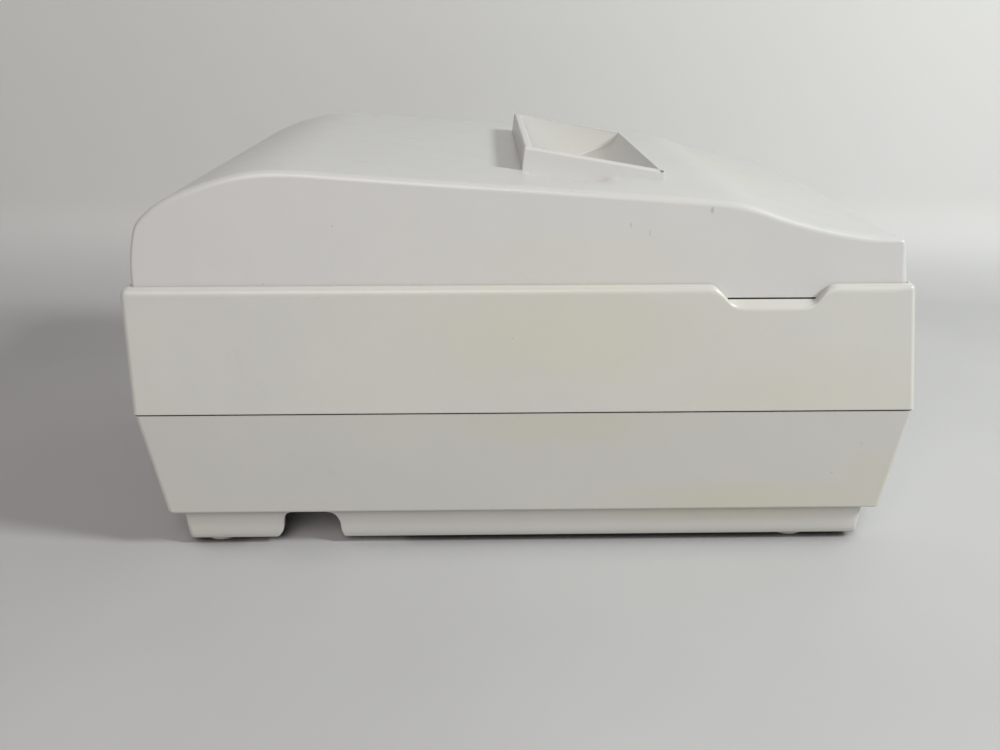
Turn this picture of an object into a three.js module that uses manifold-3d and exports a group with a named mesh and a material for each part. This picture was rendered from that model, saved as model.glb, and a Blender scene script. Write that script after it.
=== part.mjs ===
// Flatbed scanner with a thick hinged lid that carries a small sheet feeder.
// Frame: millimetres, +X to the front edge of the lid, +Y across to the far side, +Z up.
// z = 0 is the plane under the feet, x = 0 and y = 0 are the middle of the footprint.
// A range is [low, high]; an outline is a list of points in the plane across its prism's axis.
import * as THREE from "three";
import { mergeVertices } from "three/addons/utils/BufferGeometryUtils.js";
import Module from "manifold-3d";

const wasm = await Module();
wasm.setup();

// ---------------------------------------------------------------- driving dimensions
const WALL = 3; // housing wall
const GAP = 0.3; // clearance between neighbouring solids
const Z_FOOT = 5.7; // top of the feet
const Z_PLINTH = 6; // underside of the plinth
const Z_GROOVE = 26; // lower edge of the tapering base, above the plinth
const Z_TAPER = 27.5; // height at which the base's taper is measured from
const Z_BASE_TOP = 92; // parting line, lower half
const Z_UPPER = 92.5; // parting line, upper half
const Z_DECK_LOW = 150.6; // underside of the deck
const Z_DECK = 154.8; // deck inside the rim
const Z_RIM = 163.7; // shoulder round the lid
const Z_SKIRT = 156.5; // lower edge of the lid skirt
const HALF_RIM = 150; // half width over the shoulder
const HALF_LID = 145; // half width of the lid at the shoulder
const LID_REAR = -209.6;
const LID_FRONT = 204.7;
const LID_WALL = 2.6;
const LID_CORNER_R = 2.5;
const LID_CUTOUT_HALF = HALF_LID + 0.4; // half width of the pocket the lid drops into

// lid hinges: posts at y = +-POST_Y, pins along Y
const PIVOT = [LID_REAR + 6, 169.6]; // x, z
const PIVOT_X = PIVOT[0];
const POST_Y = 100;
const POST_HALF_X = 3;
const POST_HALF_Y = 6;
const PIN_R = 2;
const PIN_HOLE_R = PIN_R + 0.15;

// glass panes: x range, half width, and width of the ledge under the rear and front edges
const PANES = {
  platen_glass: { x: [-145, 161], halfY: 114, ledgeX: 4 },
  feeder_glass: { x: [-168, -148], halfY: 94, ledgeX: 3 },
};
const PANE_LEDGE_Y = 4;

// carriage drive
const CHASSIS_Z = [86, 88];
const Z_ON_CHASSIS = CHASSIS_Z[1] + GAP;
const ROD = [-118, 104]; // y, z
const ROD_R = 4;
const SCAN_LINE_X = -157; // parked position of the carriage, under the scan roller
const BELT_Y = -90;
const PULLEY_R = 6;
const PULLEY = [-176, BELT_Y]; // x, y
const IDLER = [186, BELT_Y];
const GEAR = { module: 1, teeth: 40, pinionTeeth: 12, backlash: 0.15 };
const PINION = [
  PULLEY[0],
  BELT_Y + ((GEAR.teeth + GEAR.pinionTeeth) * GEAR.module) / 2 + GEAR.backlash,
];

// sheet feeder: roller axes as [x, z]
const FEED = { at: [-14, 181.5], r: 10 };
const PINCH = { at: [-14, 197.9], r: 6 };
const SCAN = { at: [SCAN_LINE_X, 163.6], r: 8 };
const FEED_GEAR = { module: 0.8, teeth: 36, pinionTeeth: 12, backlash: 0.12 };
const CHUTE_HALF_Y = 88.5;
const CHUTE_WALL = 4;

// top surface of the lid near its side edges, rear corner to front corner: [x, z]
const LID_TOP = [
  [-206.9, 188], [-205.6, 195.3], [-202.4, 199.3], [-194, 206.2],
  [-185.6, 210.8], [-177.4, 214.2], [-168.2, 217.4], [-158, 220.4],
  [-147.2, 222.7], [-136.9, 223.8], [-126.7, 224], [-116.6, 223.4],
  [-86, 221.2], [-45.2, 218.3], [-4, 215.6], [37.5, 212.6],
  [79.3, 209.5], [100.4, 207.9], [108.5, 207.1], [113.5, 206.2],
  [121.8, 203.8], [132.7, 200], [143.7, 196.7], [154.7, 193.9],
  [165.6, 191.6], [176.6, 189.8], [187.5, 188.4], [199.9, 187.5],
];

// ---------------------------------------------------------------- colours and shared finishes
const BEIGE = 0xc9c5b9;
const BEIGE_DARK = 0xbdb9ac;
const WHITE = 0xf2f1ec;
const BLACK = 0x1c1c1e;
const STEEL = 0xb8bbbf;
const GREEN = 0x1f5a38;
const GREY = 0x55585c;
const NYLON = 0xe8e4d6;
const GLASS_FINISH = { color: 0xbfd8d2, roughness: 0.05 };
const MIRROR_FINISH = { color: 0xdfe6ea, roughness: 0.02, metalness: 1 };
const BRASS_FINISH = { color: 0xc8a23a, roughness: 0.3, metalness: 1 };
const BRACKET_FINISH = { color: STEEL, roughness: 0.4, metalness: 0.8 };
const BOARD_FINISH = { color: GREEN, roughness: 0.5 };
const NYLON_FINISH = { color: NYLON, roughness: 0.5 };
const RUBBER_FINISH = { color: BLACK, roughness: 0.9 };

// ---------------------------------------------------------------- ranges and outlines
const SIDES = [-1, 1]; // near, far
const span = (centre, half) => [centre - half, centre + half];
const grow = ([low, high], by) => [low - by, high + by];
const mirrored = (side, [low, high]) => (side < 0 ? [-high, -low] : [low, high]);
const polar = ([x, y], radius, angle) => [
  x + radius * Math.cos(angle),
  y + radius * Math.sin(angle),
];
const circle = (centre, radius, count) =>
  Array.from({ length: count }, (_, i) =>
    polar(centre, radius, (2 * Math.PI * (i + 0.5)) / count),
  );
// outline turned about its own origin, then moved to a place
const placed = (outline, [x, y], angle) => {
  const c = Math.cos(angle);
  const s = Math.sin(angle);
  return outline.map(([u, v]) => [x + u * c - v * s, y + u * s + v * c]);
};

// rounded rectangle, counter-clockwise
const CORNER_STEPS = 3;
function roundedRect(x0, x1, halfY, radius) {
  const corners = [
    [x1 - radius, halfY - radius],
    [x0 + radius, halfY - radius],
    [x0 + radius, -halfY + radius],
    [x1 - radius, -halfY + radius],
  ];
  return corners.flatMap((centre, quarter) =>
    Array.from({ length: CORNER_STEPS + 1 }, (_, i) =>
      polar(centre, radius, (Math.PI / 2) * (quarter + i / CORNER_STEPS)),
    ),
  );
}

// spur gear outline with trapezoid teeth, a tooth centred on angle `turn`
function gearOutline(centre, teeth, module, turn) {
  const pitchR = (teeth * module) / 2;
  const root = pitchR - 1.25 * module;
  const tip = pitchR + 0.85 * module;
  const tooth = [
    // radius, offset along the arc
    [root, -0.92 * module],
    [tip, -0.34 * module],
    [tip, 0.34 * module],
    [root, 0.92 * module],
  ];
  return Array.from({ length: teeth }, (_, i) => turn + (2 * Math.PI * i) / teeth).flatMap(
    (angle) => tooth.map(([radius, offset]) => polar(centre, radius, angle + offset / radius)),
  );
}

// closed line round two pulleys { at, r }, held `offset` off their rims
const BELT_ARC_STEPS = 12;
function beltRing(first, second, offset) {
  const dx = second.at[0] - first.at[0];
  const dy = second.at[1] - first.at[1];
  const heading = Math.atan2(dy, dx);
  const tangent = Math.acos((first.r - second.r) / Math.hypot(dx, dy));
  const arc = (pulley, start, sweep) =>
    Array.from({ length: BELT_ARC_STEPS + 1 }, (_, i) =>
      polar(pulley.at, pulley.r + offset, start + (sweep * i) / BELT_ARC_STEPS),
    );
  return [
    ...arc(second, heading - tangent, 2 * tangent),
    ...arc(first, heading + tangent, 2 * Math.PI - 2 * tangent),
  ];
}

// open outline moved to the right of its direction of travel
function insetOutline(outline, inset) {
  const direction = ([x0, y0], [x1, y1]) => {
    const length = Math.hypot(x1 - x0, y1 - y0);
    return [(x1 - x0) / length, (y1 - y0) / length];
  };
  const legs = outline.slice(1).map((point, i) => direction(outline[i], point));
  return outline.map(([x, y], i) => {
    const before = legs[Math.max(i - 1, 0)];
    const after = legs[Math.min(i, legs.length - 1)];
    const [nx, ny] = direction([0, 0], [before[1] + after[1], -(before[0] + after[0])]);
    const reach = inset / (nx * before[1] - ny * before[0]);
    return [x + nx * reach, y + ny * reach];
  });
}

// ---------------------------------------------------------------- solids
function solid(geometry) {
  const flat = geometry.index ? geometry.toNonIndexed() : geometry;
  const bare = new THREE.BufferGeometry().setAttribute("position", flat.getAttribute("position"));
  const merged = mergeVertices(bare, 1e-4);
  return new wasm.Manifold(
    new wasm.Mesh({
      numProp: 3,
      vertProperties: merged.attributes.position.array,
      triVerts: new Uint32Array(merged.index.array),
    }),
  );
}
const union = (...parts) => parts.reduce((a, b) => a.add(b));
const cut = (body, ...tools) => tools.reduce((a, b) => a.subtract(b), body);

const box = ([x0, x1], [y0, y1], [z0, z1]) =>
  solid(
    new THREE.BoxGeometry(x1 - x0, y1 - y0, z1 - z0).translate(
      (x0 + x1) / 2,
      (y0 + y1) / 2,
      (z0 + z1) / 2,
    ),
  );

const toPath = (Kind, outline) => new Kind(outline.map((p) => new THREE.Vector2(...p)));
function extruded(outline, depth, holes) {
  const shape = toPath(THREE.Shape, outline);
  shape.holes = holes.map((hole) => toPath(THREE.Path, hole));
  return new THREE.ExtrudeGeometry(shape, {
    depth,
    bevelEnabled: false,
    steps: 1,
    curveSegments: 1,
  });
}
// prisms along the named axis; outlines are [x, y], [x, z] and [y, z] in turn
const prismZ = (outline, [low, high], holes = []) =>
  solid(extruded(outline, high - low, holes).translate(0, 0, low));
const prismY = (outline, [low, high], holes = []) =>
  solid(
    extruded(outline, high - low, holes)
      .rotateX(Math.PI / 2)
      .translate(0, high, 0),
  );
const TO_X = new THREE.Matrix4().makeBasis(
  new THREE.Vector3(0, 1, 0),
  new THREE.Vector3(0, 0, 1),
  new THREE.Vector3(1, 0, 0),
);
const prismX = (outline, [low, high], holes = []) =>
  solid(extruded(outline, high - low, holes).applyMatrix4(TO_X).translate(low, 0, 0));
const cylZ = (centre, r, range, sides) => prismZ(circle(centre, r, sides), range);
const cylY = (centre, r, range, sides) => prismY(circle(centre, r, sides), range);
const cylX = (centre, r, range, sides) => prismX(circle(centre, r, sides), range);

// solid through rings of [x, y, z] of equal length, each ring counter-clockwise seen from the
// last one; `flatten` gives the plane in which the two end caps are triangulated
function loft(rings, flatten) {
  const count = rings[0].length;
  const positions = [];
  const triangle = (a, b, c) => positions.push(...a, ...b, ...c);
  for (let i = 0; i + 1 < rings.length; i++) {
    const ring = rings[i];
    const next = rings[i + 1];
    for (let j = 0; j < count; j++) {
      const k = (j + 1) % count;
      triangle(ring[j], ring[k], next[k]);
      triangle(ring[j], next[k], next[j]);
    }
  }
  const capFaces = (ring) =>
    THREE.ShapeUtils.triangulateShape(ring.map((p) => new THREE.Vector2(...flatten(p))), []);
  const first = rings[0];
  const last = rings[rings.length - 1];
  for (const [a, b, c] of capFaces(first)) triangle(first[a], first[c], first[b]);
  for (const [a, b, c] of capFaces(last)) triangle(last[a], last[b], last[c]);
  return solid(
    new THREE.BufferGeometry().setAttribute(
      "position",
      new THREE.Float32BufferAttribute(positions, 3),
    ),
  );
}
// rounded block through levels of [z, rear x, front x, half width, corner radius]
const block = (levels) =>
  loft(
    levels.map(([z, ...size]) => roundedRect(...size).map(([x, y]) => [x, y, z])),
    ([x, y]) => [x, y],
  );

const group = new THREE.Group();
function add(name, manifold, { color, roughness, metalness = 0 }) {
  const data = manifold.getMesh();
  const geometry = new THREE.BufferGeometry()
    .setAttribute("position", new THREE.BufferAttribute(data.vertProperties.slice(), 3))
    .setIndex(new THREE.BufferAttribute(data.triVerts.slice(), 1));
  geometry.computeVertexNormals();
  const material = new THREE.MeshStandardMaterial({ color, roughness, metalness });
  const mesh = new THREE.Mesh(geometry, material);
  mesh.name = name;
  group.add(mesh);
}

// ---------------------------------------------------------------- base tray
const WELL = { x: [-165, -75], y: [-134.4, 33], top: 42 }; // connector well, open below
const INLET_OPENING = { x: [-158, -130], z: [13, 35] };
const PORT_OPENING = { x: [-122, -84], z: [16, 28] };
const ROCKER = { at: [-206.6, 60], y: 100 }; // trunnion axis [x, z] and middle
const POSTS = [
  [-184, -98],
  [-184, 118],
  [184, -118],
  [184, 118],
];
const Z_BOARD = 20;
const BOARD_BOSSES = [
  [-50, -104], [150, -104], [-50, 56], [150, 56], // main board
  [-50, 78], [110, 78], [-50, 124], [110, 124], // power board
];
// cable notch through the near plinth wall: [x, z]
const CABLE_NOTCH = [
  [-149.8, 5], [-147.8, 6.2], [-145.6, 8.4], [-144.6, 12], [-143.4, 17.5],
  [-141.6, 21.2], [-138.6, 22.3], [-120.5, 22.3], [-116, 21], [-113, 18.2],
  [-110.6, 13], [-109.2, 8.6], [-106.6, 6.3], [-104.6, 5],
];
const VENT = { count: 8, x: -60, pitch: 9, width: 4 };

function baseLevel(z, inset, radius) {
  const t = (z - Z_TAPER) / (Z_BASE_TOP - Z_TAPER);
  const rear = -210.1 - t * 7.1;
  const front = 211.8 + t * 5.9;
  return [z, rear + inset, front - inset, 143.6 + t * 7.3 - inset, radius];
}
function plinthLevel(z, inset, radius) {
  const t = (z - Z_PLINTH) / (Z_TAPER - Z_PLINTH);
  const rear = -201.8 - t * 1.7;
  const front = 203.7 + t * 0.8;
  return [z, rear + inset, front - inset, 137.2 + t - inset, radius];
}

function baseTray() {
  const outside = union(
    block([plinthLevel(Z_PLINTH, 0, 3.5), plinthLevel(Z_GROOVE + 0.4, 0, 3.5)]),
    block([
      baseLevel(Z_GROOVE, 1.2, 3),
      baseLevel(26.5, 0.4, 3.2),
      baseLevel(27.6, 0, 3.2),
      baseLevel(Z_BASE_TOP, 0, 3.2),
    ]),
  );
  const hollow = cut(
    outside,
    block([plinthLevel(9, WALL + 0.2, 1.5), plinthLevel(32, WALL + 0.2, 1.5)]),
    block([baseLevel(31, WALL, 2.5), baseLevel(Z_BASE_TOP + 1, WALL, 2.5)]),
  );
  // lip that stands inside the upper half and closes the parting line
  const lip = cut(
    block([
      baseLevel(84, 2.9, 2.5),
      baseLevel(Z_BASE_TOP - 0.1, 2.9, 2.5),
      [Z_BASE_TOP - 0.1, -213.7, 213.9, 147.5, 2.4],
      [96.5, -213.6, 213.8, 147.5, 2.4],
    ]),
    block([baseLevel(83, 4.9, 2.2), [98, -212, 212.2, 146, 2.2]]),
  );
  const fitted = union(
    hollow,
    box(
      grow(WELL.x, WALL),
      [WELL.y[0] - 1, WELL.y[1] + WALL],
      [Z_PLINTH, WELL.top + WALL],
    ),
    ...POSTS.map((at) => cylZ(at, 5, [8, CHASSIS_Z[0] - GAP], 12)),
    ...BOARD_BOSSES.map((at) => cylZ(at, 3, [8, Z_BOARD - GAP], 8)),
    // ears either side of the rocker
    ...SIDES.map((side) => box([-211.4, -202.5], span(ROCKER.y + side * 7.9, 1.5), [54, 66])),
    lip,
  );
  const wellEndY = [WELL.y[1] - 1, WELL.y[1] + WALL + 1];
  const vents = Array.from({ length: VENT.count }, (_, i) => {
    const x = VENT.x + i * VENT.pitch;
    return box([x, x + VENT.width], [140, 156], [48, 74]);
  });
  return cut(
    fitted,
    box(WELL.x, WELL.y, [5, WELL.top]),
    prismY(CABLE_NOTCH, [-140, -133]),
    // counterbored screw holes
    ...POSTS.flatMap((at) => [cylZ(at, 3.8, [5, 9], 12), cylZ(at, 1.7, [8.5, 25], 8)]),
    // rocker opening and its trunnion holes
    box([-222, -205], span(ROCKER.y, 6), [48.4, 71.6]),
    cylY(ROCKER.at, 1.9, span(ROCKER.y, 10), 12),
    // connector openings in the far end wall of the well
    box(INLET_OPENING.x, wellEndY, INLET_OPENING.z),
    box(PORT_OPENING.x, wellEndY, PORT_OPENING.z),
    ...vents, // slots in the far wall
  );
}
add("base_tray", baseTray(), { color: BEIGE_DARK, roughness: 0.55 });

// ---------------------------------------------------------------- upper frame
const STATUS_WINDOW = { y: [-116, -104], z: [118, 122] };
// finger recess in a side of the rim: [x, z]
const RECESS = [
  [97.4, 167], [100.8, 163.9], [103.6, 161.4], [106.8, 157.4], [109.4, 154.3],
  [112, 152.6], [116.4, 151.7], [148.7, 151.7], [152, 152.6], [154.3, 154.4],
  [156.9, 158.2], [159.6, 161.8], [162.2, 163.9], [166, 167],
];
// section of the recess, its floor rising inwards: [distance from the middle, z]
const RECESS_SECTION = [
  [156, 170],
  [156, 145.4],
  [HALF_RIM, 151.6],
  [LID_CUTOUT_HALF, 155.9],
  [HALF_LID + 0.1, 155.9],
  [HALF_LID + 0.1, 170],
];

function upperLevel(z, inset, radius, frontInset = inset) {
  const t = (Z_RIM - z) / (Z_RIM - Z_UPPER);
  const rear = -214.6 - t * 3;
  const front = 207.1 + (Z_RIM - z) * 0.152;
  return [z, rear + inset, front - frontInset, HALF_RIM + t * 1.5 - inset, radius];
}
const lidCutoutLevel = (z) => [z, LID_REAR - 0.8, LID_FRONT + 0.5, LID_CUTOUT_HALF, 2.6];

function upperFrame() {
  let frame = cut(
    block([
      upperLevel(Z_UPPER, 0, 3.2),
      upperLevel(159.6, 0, 3.2),
      upperLevel(161.3, 0.5, 3.2, 0.1),
      upperLevel(162.8, 1.6, 3.2, 0.6),
      upperLevel(Z_RIM, 3.4, 3.2, 1.2),
    ]),
    block([upperLevel(Z_UPPER - 1, WALL, 2.5), upperLevel(Z_DECK_LOW, WALL, 2.5)]),
    block([lidCutoutLevel(Z_DECK), lidCutoutLevel(Z_RIM + 2)]),
    // opening and rebate for each pane
    ...Object.values(PANES).flatMap(({ x, halfY, ledgeX }) => [
      box(grow(x, -ledgeX), span(0, halfY - PANE_LEDGE_Y), [149, 156]),
      box(grow(x, GAP), span(0, halfY + GAP), [152.4, 156]),
    ]),
  );
  for (const side of SIDES) {
    // guide sleeve for the hinge post
    const sleeveX = [-213.5, PIVOT_X + POST_HALF_X + 3];
    frame = frame.add(box(sleeveX, span(side * POST_Y, POST_HALF_Y + 3), [134, 152]));
    frame = frame.subtract(
      box(
        span(PIVOT_X, POST_HALF_X + 0.6),
        span(side * POST_Y, POST_HALF_Y + 0.6),
        [130, 156],
      ),
    );
    const section = RECESS_SECTION.map(([y, z]) => [side * y, z]);
    frame = frame.subtract(
      prismY(RECESS, mirrored(side, [144, 156])).intersect(prismX(section, [90, 175])),
    );
  }
  return frame.subtract(box([206, 222], STATUS_WINDOW.y, STATUS_WINDOW.z));
}
add("upper_frame", upperFrame(), { color: BEIGE, roughness: 0.5 });
add(
  "status_lens",
  box([209.6, 213.2], grow(STATUS_WINDOW.y, -0.4), grow(STATUS_WINDOW.z, -0.4)),
  { color: 0x3d7a4a, roughness: 0.25 },
);

// ---------------------------------------------------------------- glass panes
for (const [name, { x, halfY }] of Object.entries(PANES))
  add(name, box(x, span(0, halfY), [152.7, 154.6]), GLASS_FINISH);
add("calibration_strip", box([-149.5, -142.5], span(0, 108), [149.6, 150.3]), {
  color: WHITE,
  roughness: 0.8,
});

// ---------------------------------------------------------------- feet and case screws
const FEET = {
  rear_near: [-184.5, -120.5],
  rear_far: [-184.5, 120.5],
  front_near: [164, -120.5],
  front_far: [164, 120.5],
};
// turned section of a foot: [radius, z]
const FOOT_PROFILE = [
  [0, 0], [11, 0], [12.1, 0.6], [12.6, 2], [12.6, 4.6], [12, Z_FOOT], [0, Z_FOOT],
].map((p) => new THREE.Vector2(...p));
for (const [name, [x, y]] of Object.entries(FEET)) {
  const foot = new THREE.LatheGeometry(FOOT_PROFILE, 24).rotateX(Math.PI / 2).translate(x, y, 0);
  add("foot_" + name, solid(foot), { color: 0xe6e2d4, roughness: 0.7 });
}

// cross-head screw, head down
const caseScrew = ([x, y]) =>
  cut(
    union(cylZ([x, y], 3.3, [6.6, 8.6], 12), cylZ([x, y], 1.35, [8.4, 22], 8)),
    box(span(x, 2), span(y, 0.5), [6, 7.6]),
    box(span(x, 0.5), span(y, 2), [6, 7.6]),
  );
POSTS.forEach((at, i) =>
  add("case_screw_" + (i + 1), caseScrew(at), { color: STEEL, roughness: 0.4, metalness: 0.9 }),
);

// ---------------------------------------------------------------- boards and connectors
const BOARD_THICKNESS = 1.6;
const Z_BOARD_TOP = Z_BOARD + BOARD_THICKNESS;
// parts on the boards: [x low, x high, y low, y high, height]
const MAIN_PARTS = [
  [-20, 12, -60, -28, 4],
  [30, 58, -64, -36, 3.5],
  [30, 58, -20, 8, 3.5],
  [80, 120, -70, -52, 4.5],
  [80, 120, -40, -22, 4.5],
  [-40, -32, 10, 50, 9],
  [100, 108, 0, 50, 9],
  [130, 142, -100, -60, 12],
];
const POWER_PARTS = [
  [-40, 0, 84, 120, 34],
  [16, 40, 90, 114, 26],
  [54, 62, 80, 124, 30],
  [76, 100, 84, 100, 14],
  [76, 100, 106, 122, 22],
];
const board = (x, y, parts) =>
  union(
    box(x, y, [Z_BOARD, Z_BOARD_TOP]),
    ...parts.map(([x0, x1, y0, y1, height]) =>
      box([x0, x1], [y0, y1], [Z_BOARD_TOP - 0.4, Z_BOARD_TOP + height]),
    ),
  );
add("main_board", board([-58, 158], [-112, 64], MAIN_PARTS), BOARD_FINISH);
add("power_board", board([-58, 118], [72, 130], POWER_PARTS), {
  color: 0x6b5a34,
  roughness: 0.6,
});

// connectors: a body through the well wall, a flange inside the well, a socket open to -Y
const connector = (opening, wall, bodyY, flange, socketY) =>
  cut(
    union(
      box(grow(opening.x, -0.4), bodyY, grow(opening.z, -0.4)),
      box(flange.x, [flange.y, WELL.y[1] - GAP], flange.z),
    ),
    box(grow(opening.x, -0.4 - wall), socketY, grow(opening.z, -0.4 - wall)),
  );
const INLET_FLANGE = { x: [-163, -125], y: 29, z: [10, 38] };
const PORT_FLANGE = { x: [-123.4, -79], y: 31, z: [12, 32] };
add("mains_inlet", connector(INLET_OPENING, 3, [30, 58], INLET_FLANGE, [28, 48]), {
  color: BLACK,
  roughness: 0.5,
});
add("data_port", connector(PORT_OPENING, 2, [30, 46], PORT_FLANGE, [28, 38]), BRACKET_FINISH);

// ---------------------------------------------------------------- power rocker
const ROCKER_TILT = (-8 * Math.PI) / 180;
// section about the trunnion axis: [x, z]
const ROCKER_SECTION = [
  [-5.6, -9.6], [-4.4, 0], [-5.6, 9.6], [0, 8.4], [4, 2.5], [4, -2.5], [0, -8.4],
];
add(
  "power_rocker",
  union(
    prismY(placed(ROCKER_SECTION, ROCKER.at, ROCKER_TILT), span(ROCKER.y, 5.5)),
    cylY(ROCKER.at, 1.5, span(ROCKER.y, 8.6), 12),
  ),
  { color: BLACK, roughness: 0.4 },
);

// ---------------------------------------------------------------- chassis, rod, rail
add(
  "chassis_plate",
  cut(
    box([-196, 194], span(0, 132), CHASSIS_Z),
    cylZ(PINION, 5, [85, 89], 16),
    box([-40, 60], [-60, 30], [85, 89]),
  ),
  { color: 0x8d9296, roughness: 0.45, metalness: 0.7 },
);
add("guide_rod", cylX(ROD, ROD_R, [-193, 191], 16), {
  color: STEEL,
  roughness: 0.2,
  metalness: 1,
});
const rodClip = (x) =>
  cut(
    union(
      box(x, span(ROD[0], 8), [Z_ON_CHASSIS, 91.5]),
      box(x, span(ROD[0], 6.5), [91, 110.5]),
    ),
    cylX(ROD, ROD_R + GAP, grow(x, 1), 16),
  );
add("rod_clip_rear", rodClip([-196, -187]), { color: NYLON, roughness: 0.6 });
add("rod_clip_front", rodClip([184.6, 193]), { color: NYLON, roughness: 0.6 });
add(
  "slide_rail",
  union(
    box([-193, 191], [110, 126], [Z_ON_CHASSIS, 90.3]),
    box([-193, 191], [116, 118], [90, 101.7]),
  ),
  { color: STEEL, roughness: 0.35, metalness: 0.8 },
);

// ---------------------------------------------------------------- carriage drive
add(
  "stepper_motor",
  union(
    cylZ(PINION, 17.5, [62, 84.2], 24),
    box(span(PINION[0], 25), span(PINION[1], 8), [84, CHASSIS_Z[0] - GAP]),
    cylZ(PINION, 1.2, [85, 95.5], 10),
  ),
  { color: GREY, roughness: 0.35, metalness: 0.8 },
);
// bracket plate with the spindle of its pulley
const pulleyBracket = (x, y, pulley) =>
  union(box(x, y, [Z_ON_CHASSIS, 89.8]), cylZ(pulley, 2.2, [89, 105], 12));
add(
  "motor_bracket",
  pulleyBracket([-198, -152], [-106, -52], PULLEY).subtract(cylZ(PINION, 4.5, [87, 91], 16)),
  BRACKET_FINISH,
);
add("idler_bracket", pulleyBracket([172, 193], [-102, -78], IDLER), BRACKET_FINISH);
const driveBeltRing = (offset) =>
  beltRing({ at: PULLEY, r: PULLEY_R }, { at: IDLER, r: PULLEY_R }, offset);
add("drive_belt", prismZ(driveBeltRing(1.5), [97.2, 102.8], [driveBeltRing(GAP)]), RUBBER_FINISH);

// motor pinion and reduction gear, in mesh at rest
add(
  "motor_pinion",
  prismZ(
    gearOutline(
      PINION,
      GEAR.pinionTeeth,
      GEAR.module,
      -Math.PI / 2 + Math.PI / GEAR.pinionTeeth,
    ),
    [90.6, 95.2],
    [circle(PINION, 1.55, 10)],
  ),
  BRASS_FINISH,
);
// belt pulley: hub from hubLow, lower flange from flangeLow, upper flange, bore
const beltPulley = (at, hubLow, flangeLow, ...extra) =>
  cut(
    union(
      ...extra,
      cylZ(at, PULLEY_R, [hubLow, 103.4], 20),
      cylZ(at, 8, [flangeLow, 96.6], 20),
      cylZ(at, 8, [103.3, 104.3], 20),
    ),
    cylZ(at, 2.55, [90, 105], 12),
  );
const reductionGear = prismZ(
  gearOutline(PULLEY, GEAR.teeth, GEAR.module, Math.PI / 2),
  [90.9, 94.9],
);
add("reduction_pulley", beltPulley(PULLEY, 94.8, 94.8, reductionGear), NYLON_FINISH);
add("idler_pulley", beltPulley(IDLER, 92, 95.6), NYLON_FINISH);

add(
  "home_sensor",
  cut(
    box([-196, -187], [60, 78], [Z_ON_CHASSIS, 112]),
    box([-197, -186], [67, 71], [100, 113]),
  ),
  { color: BLACK, roughness: 0.5 },
);
// flat cable in a hairpin between the chassis and the carriage floor: [x, z]
const RIBBON_SECTION = [
  [-150, 108.4], [-20, 108.4], [-11, 106.6], [-5, 101.5],
  [-5, 98.5], [-11, 93.4], [-20, 91.6], [-60, 91.6],
  [-60, 92.4], [-20.2, 92.4], [-11.4, 94.2], [-5.9, 98.8],
  [-5.9, 101.2], [-11.4, 105.8], [-20.2, 107.6], [-150, 107.6],
];
add("ribbon_cable", prismY(RIBBON_SECTION, [48, 74]), { color: 0xd8d8d0, roughness: 0.5 });

// ---------------------------------------------------------------- carriage, parked
const CARRIAGE_HALF_X = 28;
const fromScan = ([low, high]) => [SCAN_LINE_X + low, SCAN_LINE_X + high];
const acrossScan = (half) => span(SCAN_LINE_X, half);

function carriageFrame() {
  const tray = cut(
    box(acrossScan(CARRIAGE_HALF_X), span(0, 124), [112, 146]),
    box(acrossScan(CARRIAGE_HALF_X - 2.4), span(0, 121.5), [114.4, 147]),
    box(fromScan([-20, -14]), [50, 72], [111, 115]), // slot through the floor
  );
  return cut(
    union(
      tray,
      box(acrossScan(23), span(ROD[0], 9), [95.5, 112.5]), // rod housing
      box(acrossScan(9), [111, 123], [104.4, 112.5]), // foot over the slide rail
      box(fromScan([-27, -25]), [66.6, 69.6], [102.5, 112.5]), // tab under the rear edge
      // ribs that carry the mirrors and the lamp ends
      ...SIDES.map((side) =>
        box(acrossScan(26), mirrored(side, [110, 112]), [114, 132]),
      ),
    ),
    cylX(ROD, 6.3, acrossScan(40), 16),
  );
}
add("carriage_frame", carriageFrame(), { color: BLACK, roughness: 0.6 });
add("rod_bush", prismX(circle(ROD, 6, 16), acrossScan(23), [circle(ROD, ROD_R + GAP, 16)]), {
  color: 0xb08a4a,
  roughness: 0.4,
  metalness: 0.6,
});
add("glide_pad", box(acrossScan(8), [111.5, 122.5], [102, 104.1]), {
  color: NYLON,
  roughness: 0.4,
});
// two cheeks either side of one run of the belt, joined below it
add(
  "belt_clamp",
  union(
    box(acrossScan(8), [BELT_Y + 3, BELT_Y + 5.9], [95, 111.7]),
    box(acrossScan(8), [BELT_Y + 7.9, BELT_Y + 11], [95, 111.7]),
    box(acrossScan(8), [BELT_Y + 3, BELT_Y + 11], [95, 96.8]),
  ),
  NYLON_FINISH,
);
add("scan_lamp", cylY([SCAN_LINE_X + 15, 140], 3.6, span(0, 108), 16), {
  color: 0xfff8ea,
  roughness: 0.2,
});
// bent strip under the lamp: [x from the scan line, z]
const REFLECTOR_SECTION = [
  [6.5, 134.4], [9, 132.6], [17, 132.2], [22.6, 136], [23.4, 145],
  [22.2, 145], [21.5, 136.8], [16.6, 133.5], [9.4, 133.8], [7.2, 135.4],
];
add(
  "lamp_reflector",
  prismY(
    REFLECTOR_SECTION.map(([x, z]) => [SCAN_LINE_X + x, z]),
    span(0, 108.5),
  ),
  { color: STEEL, roughness: 0.15, metalness: 1 },
);
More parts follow.
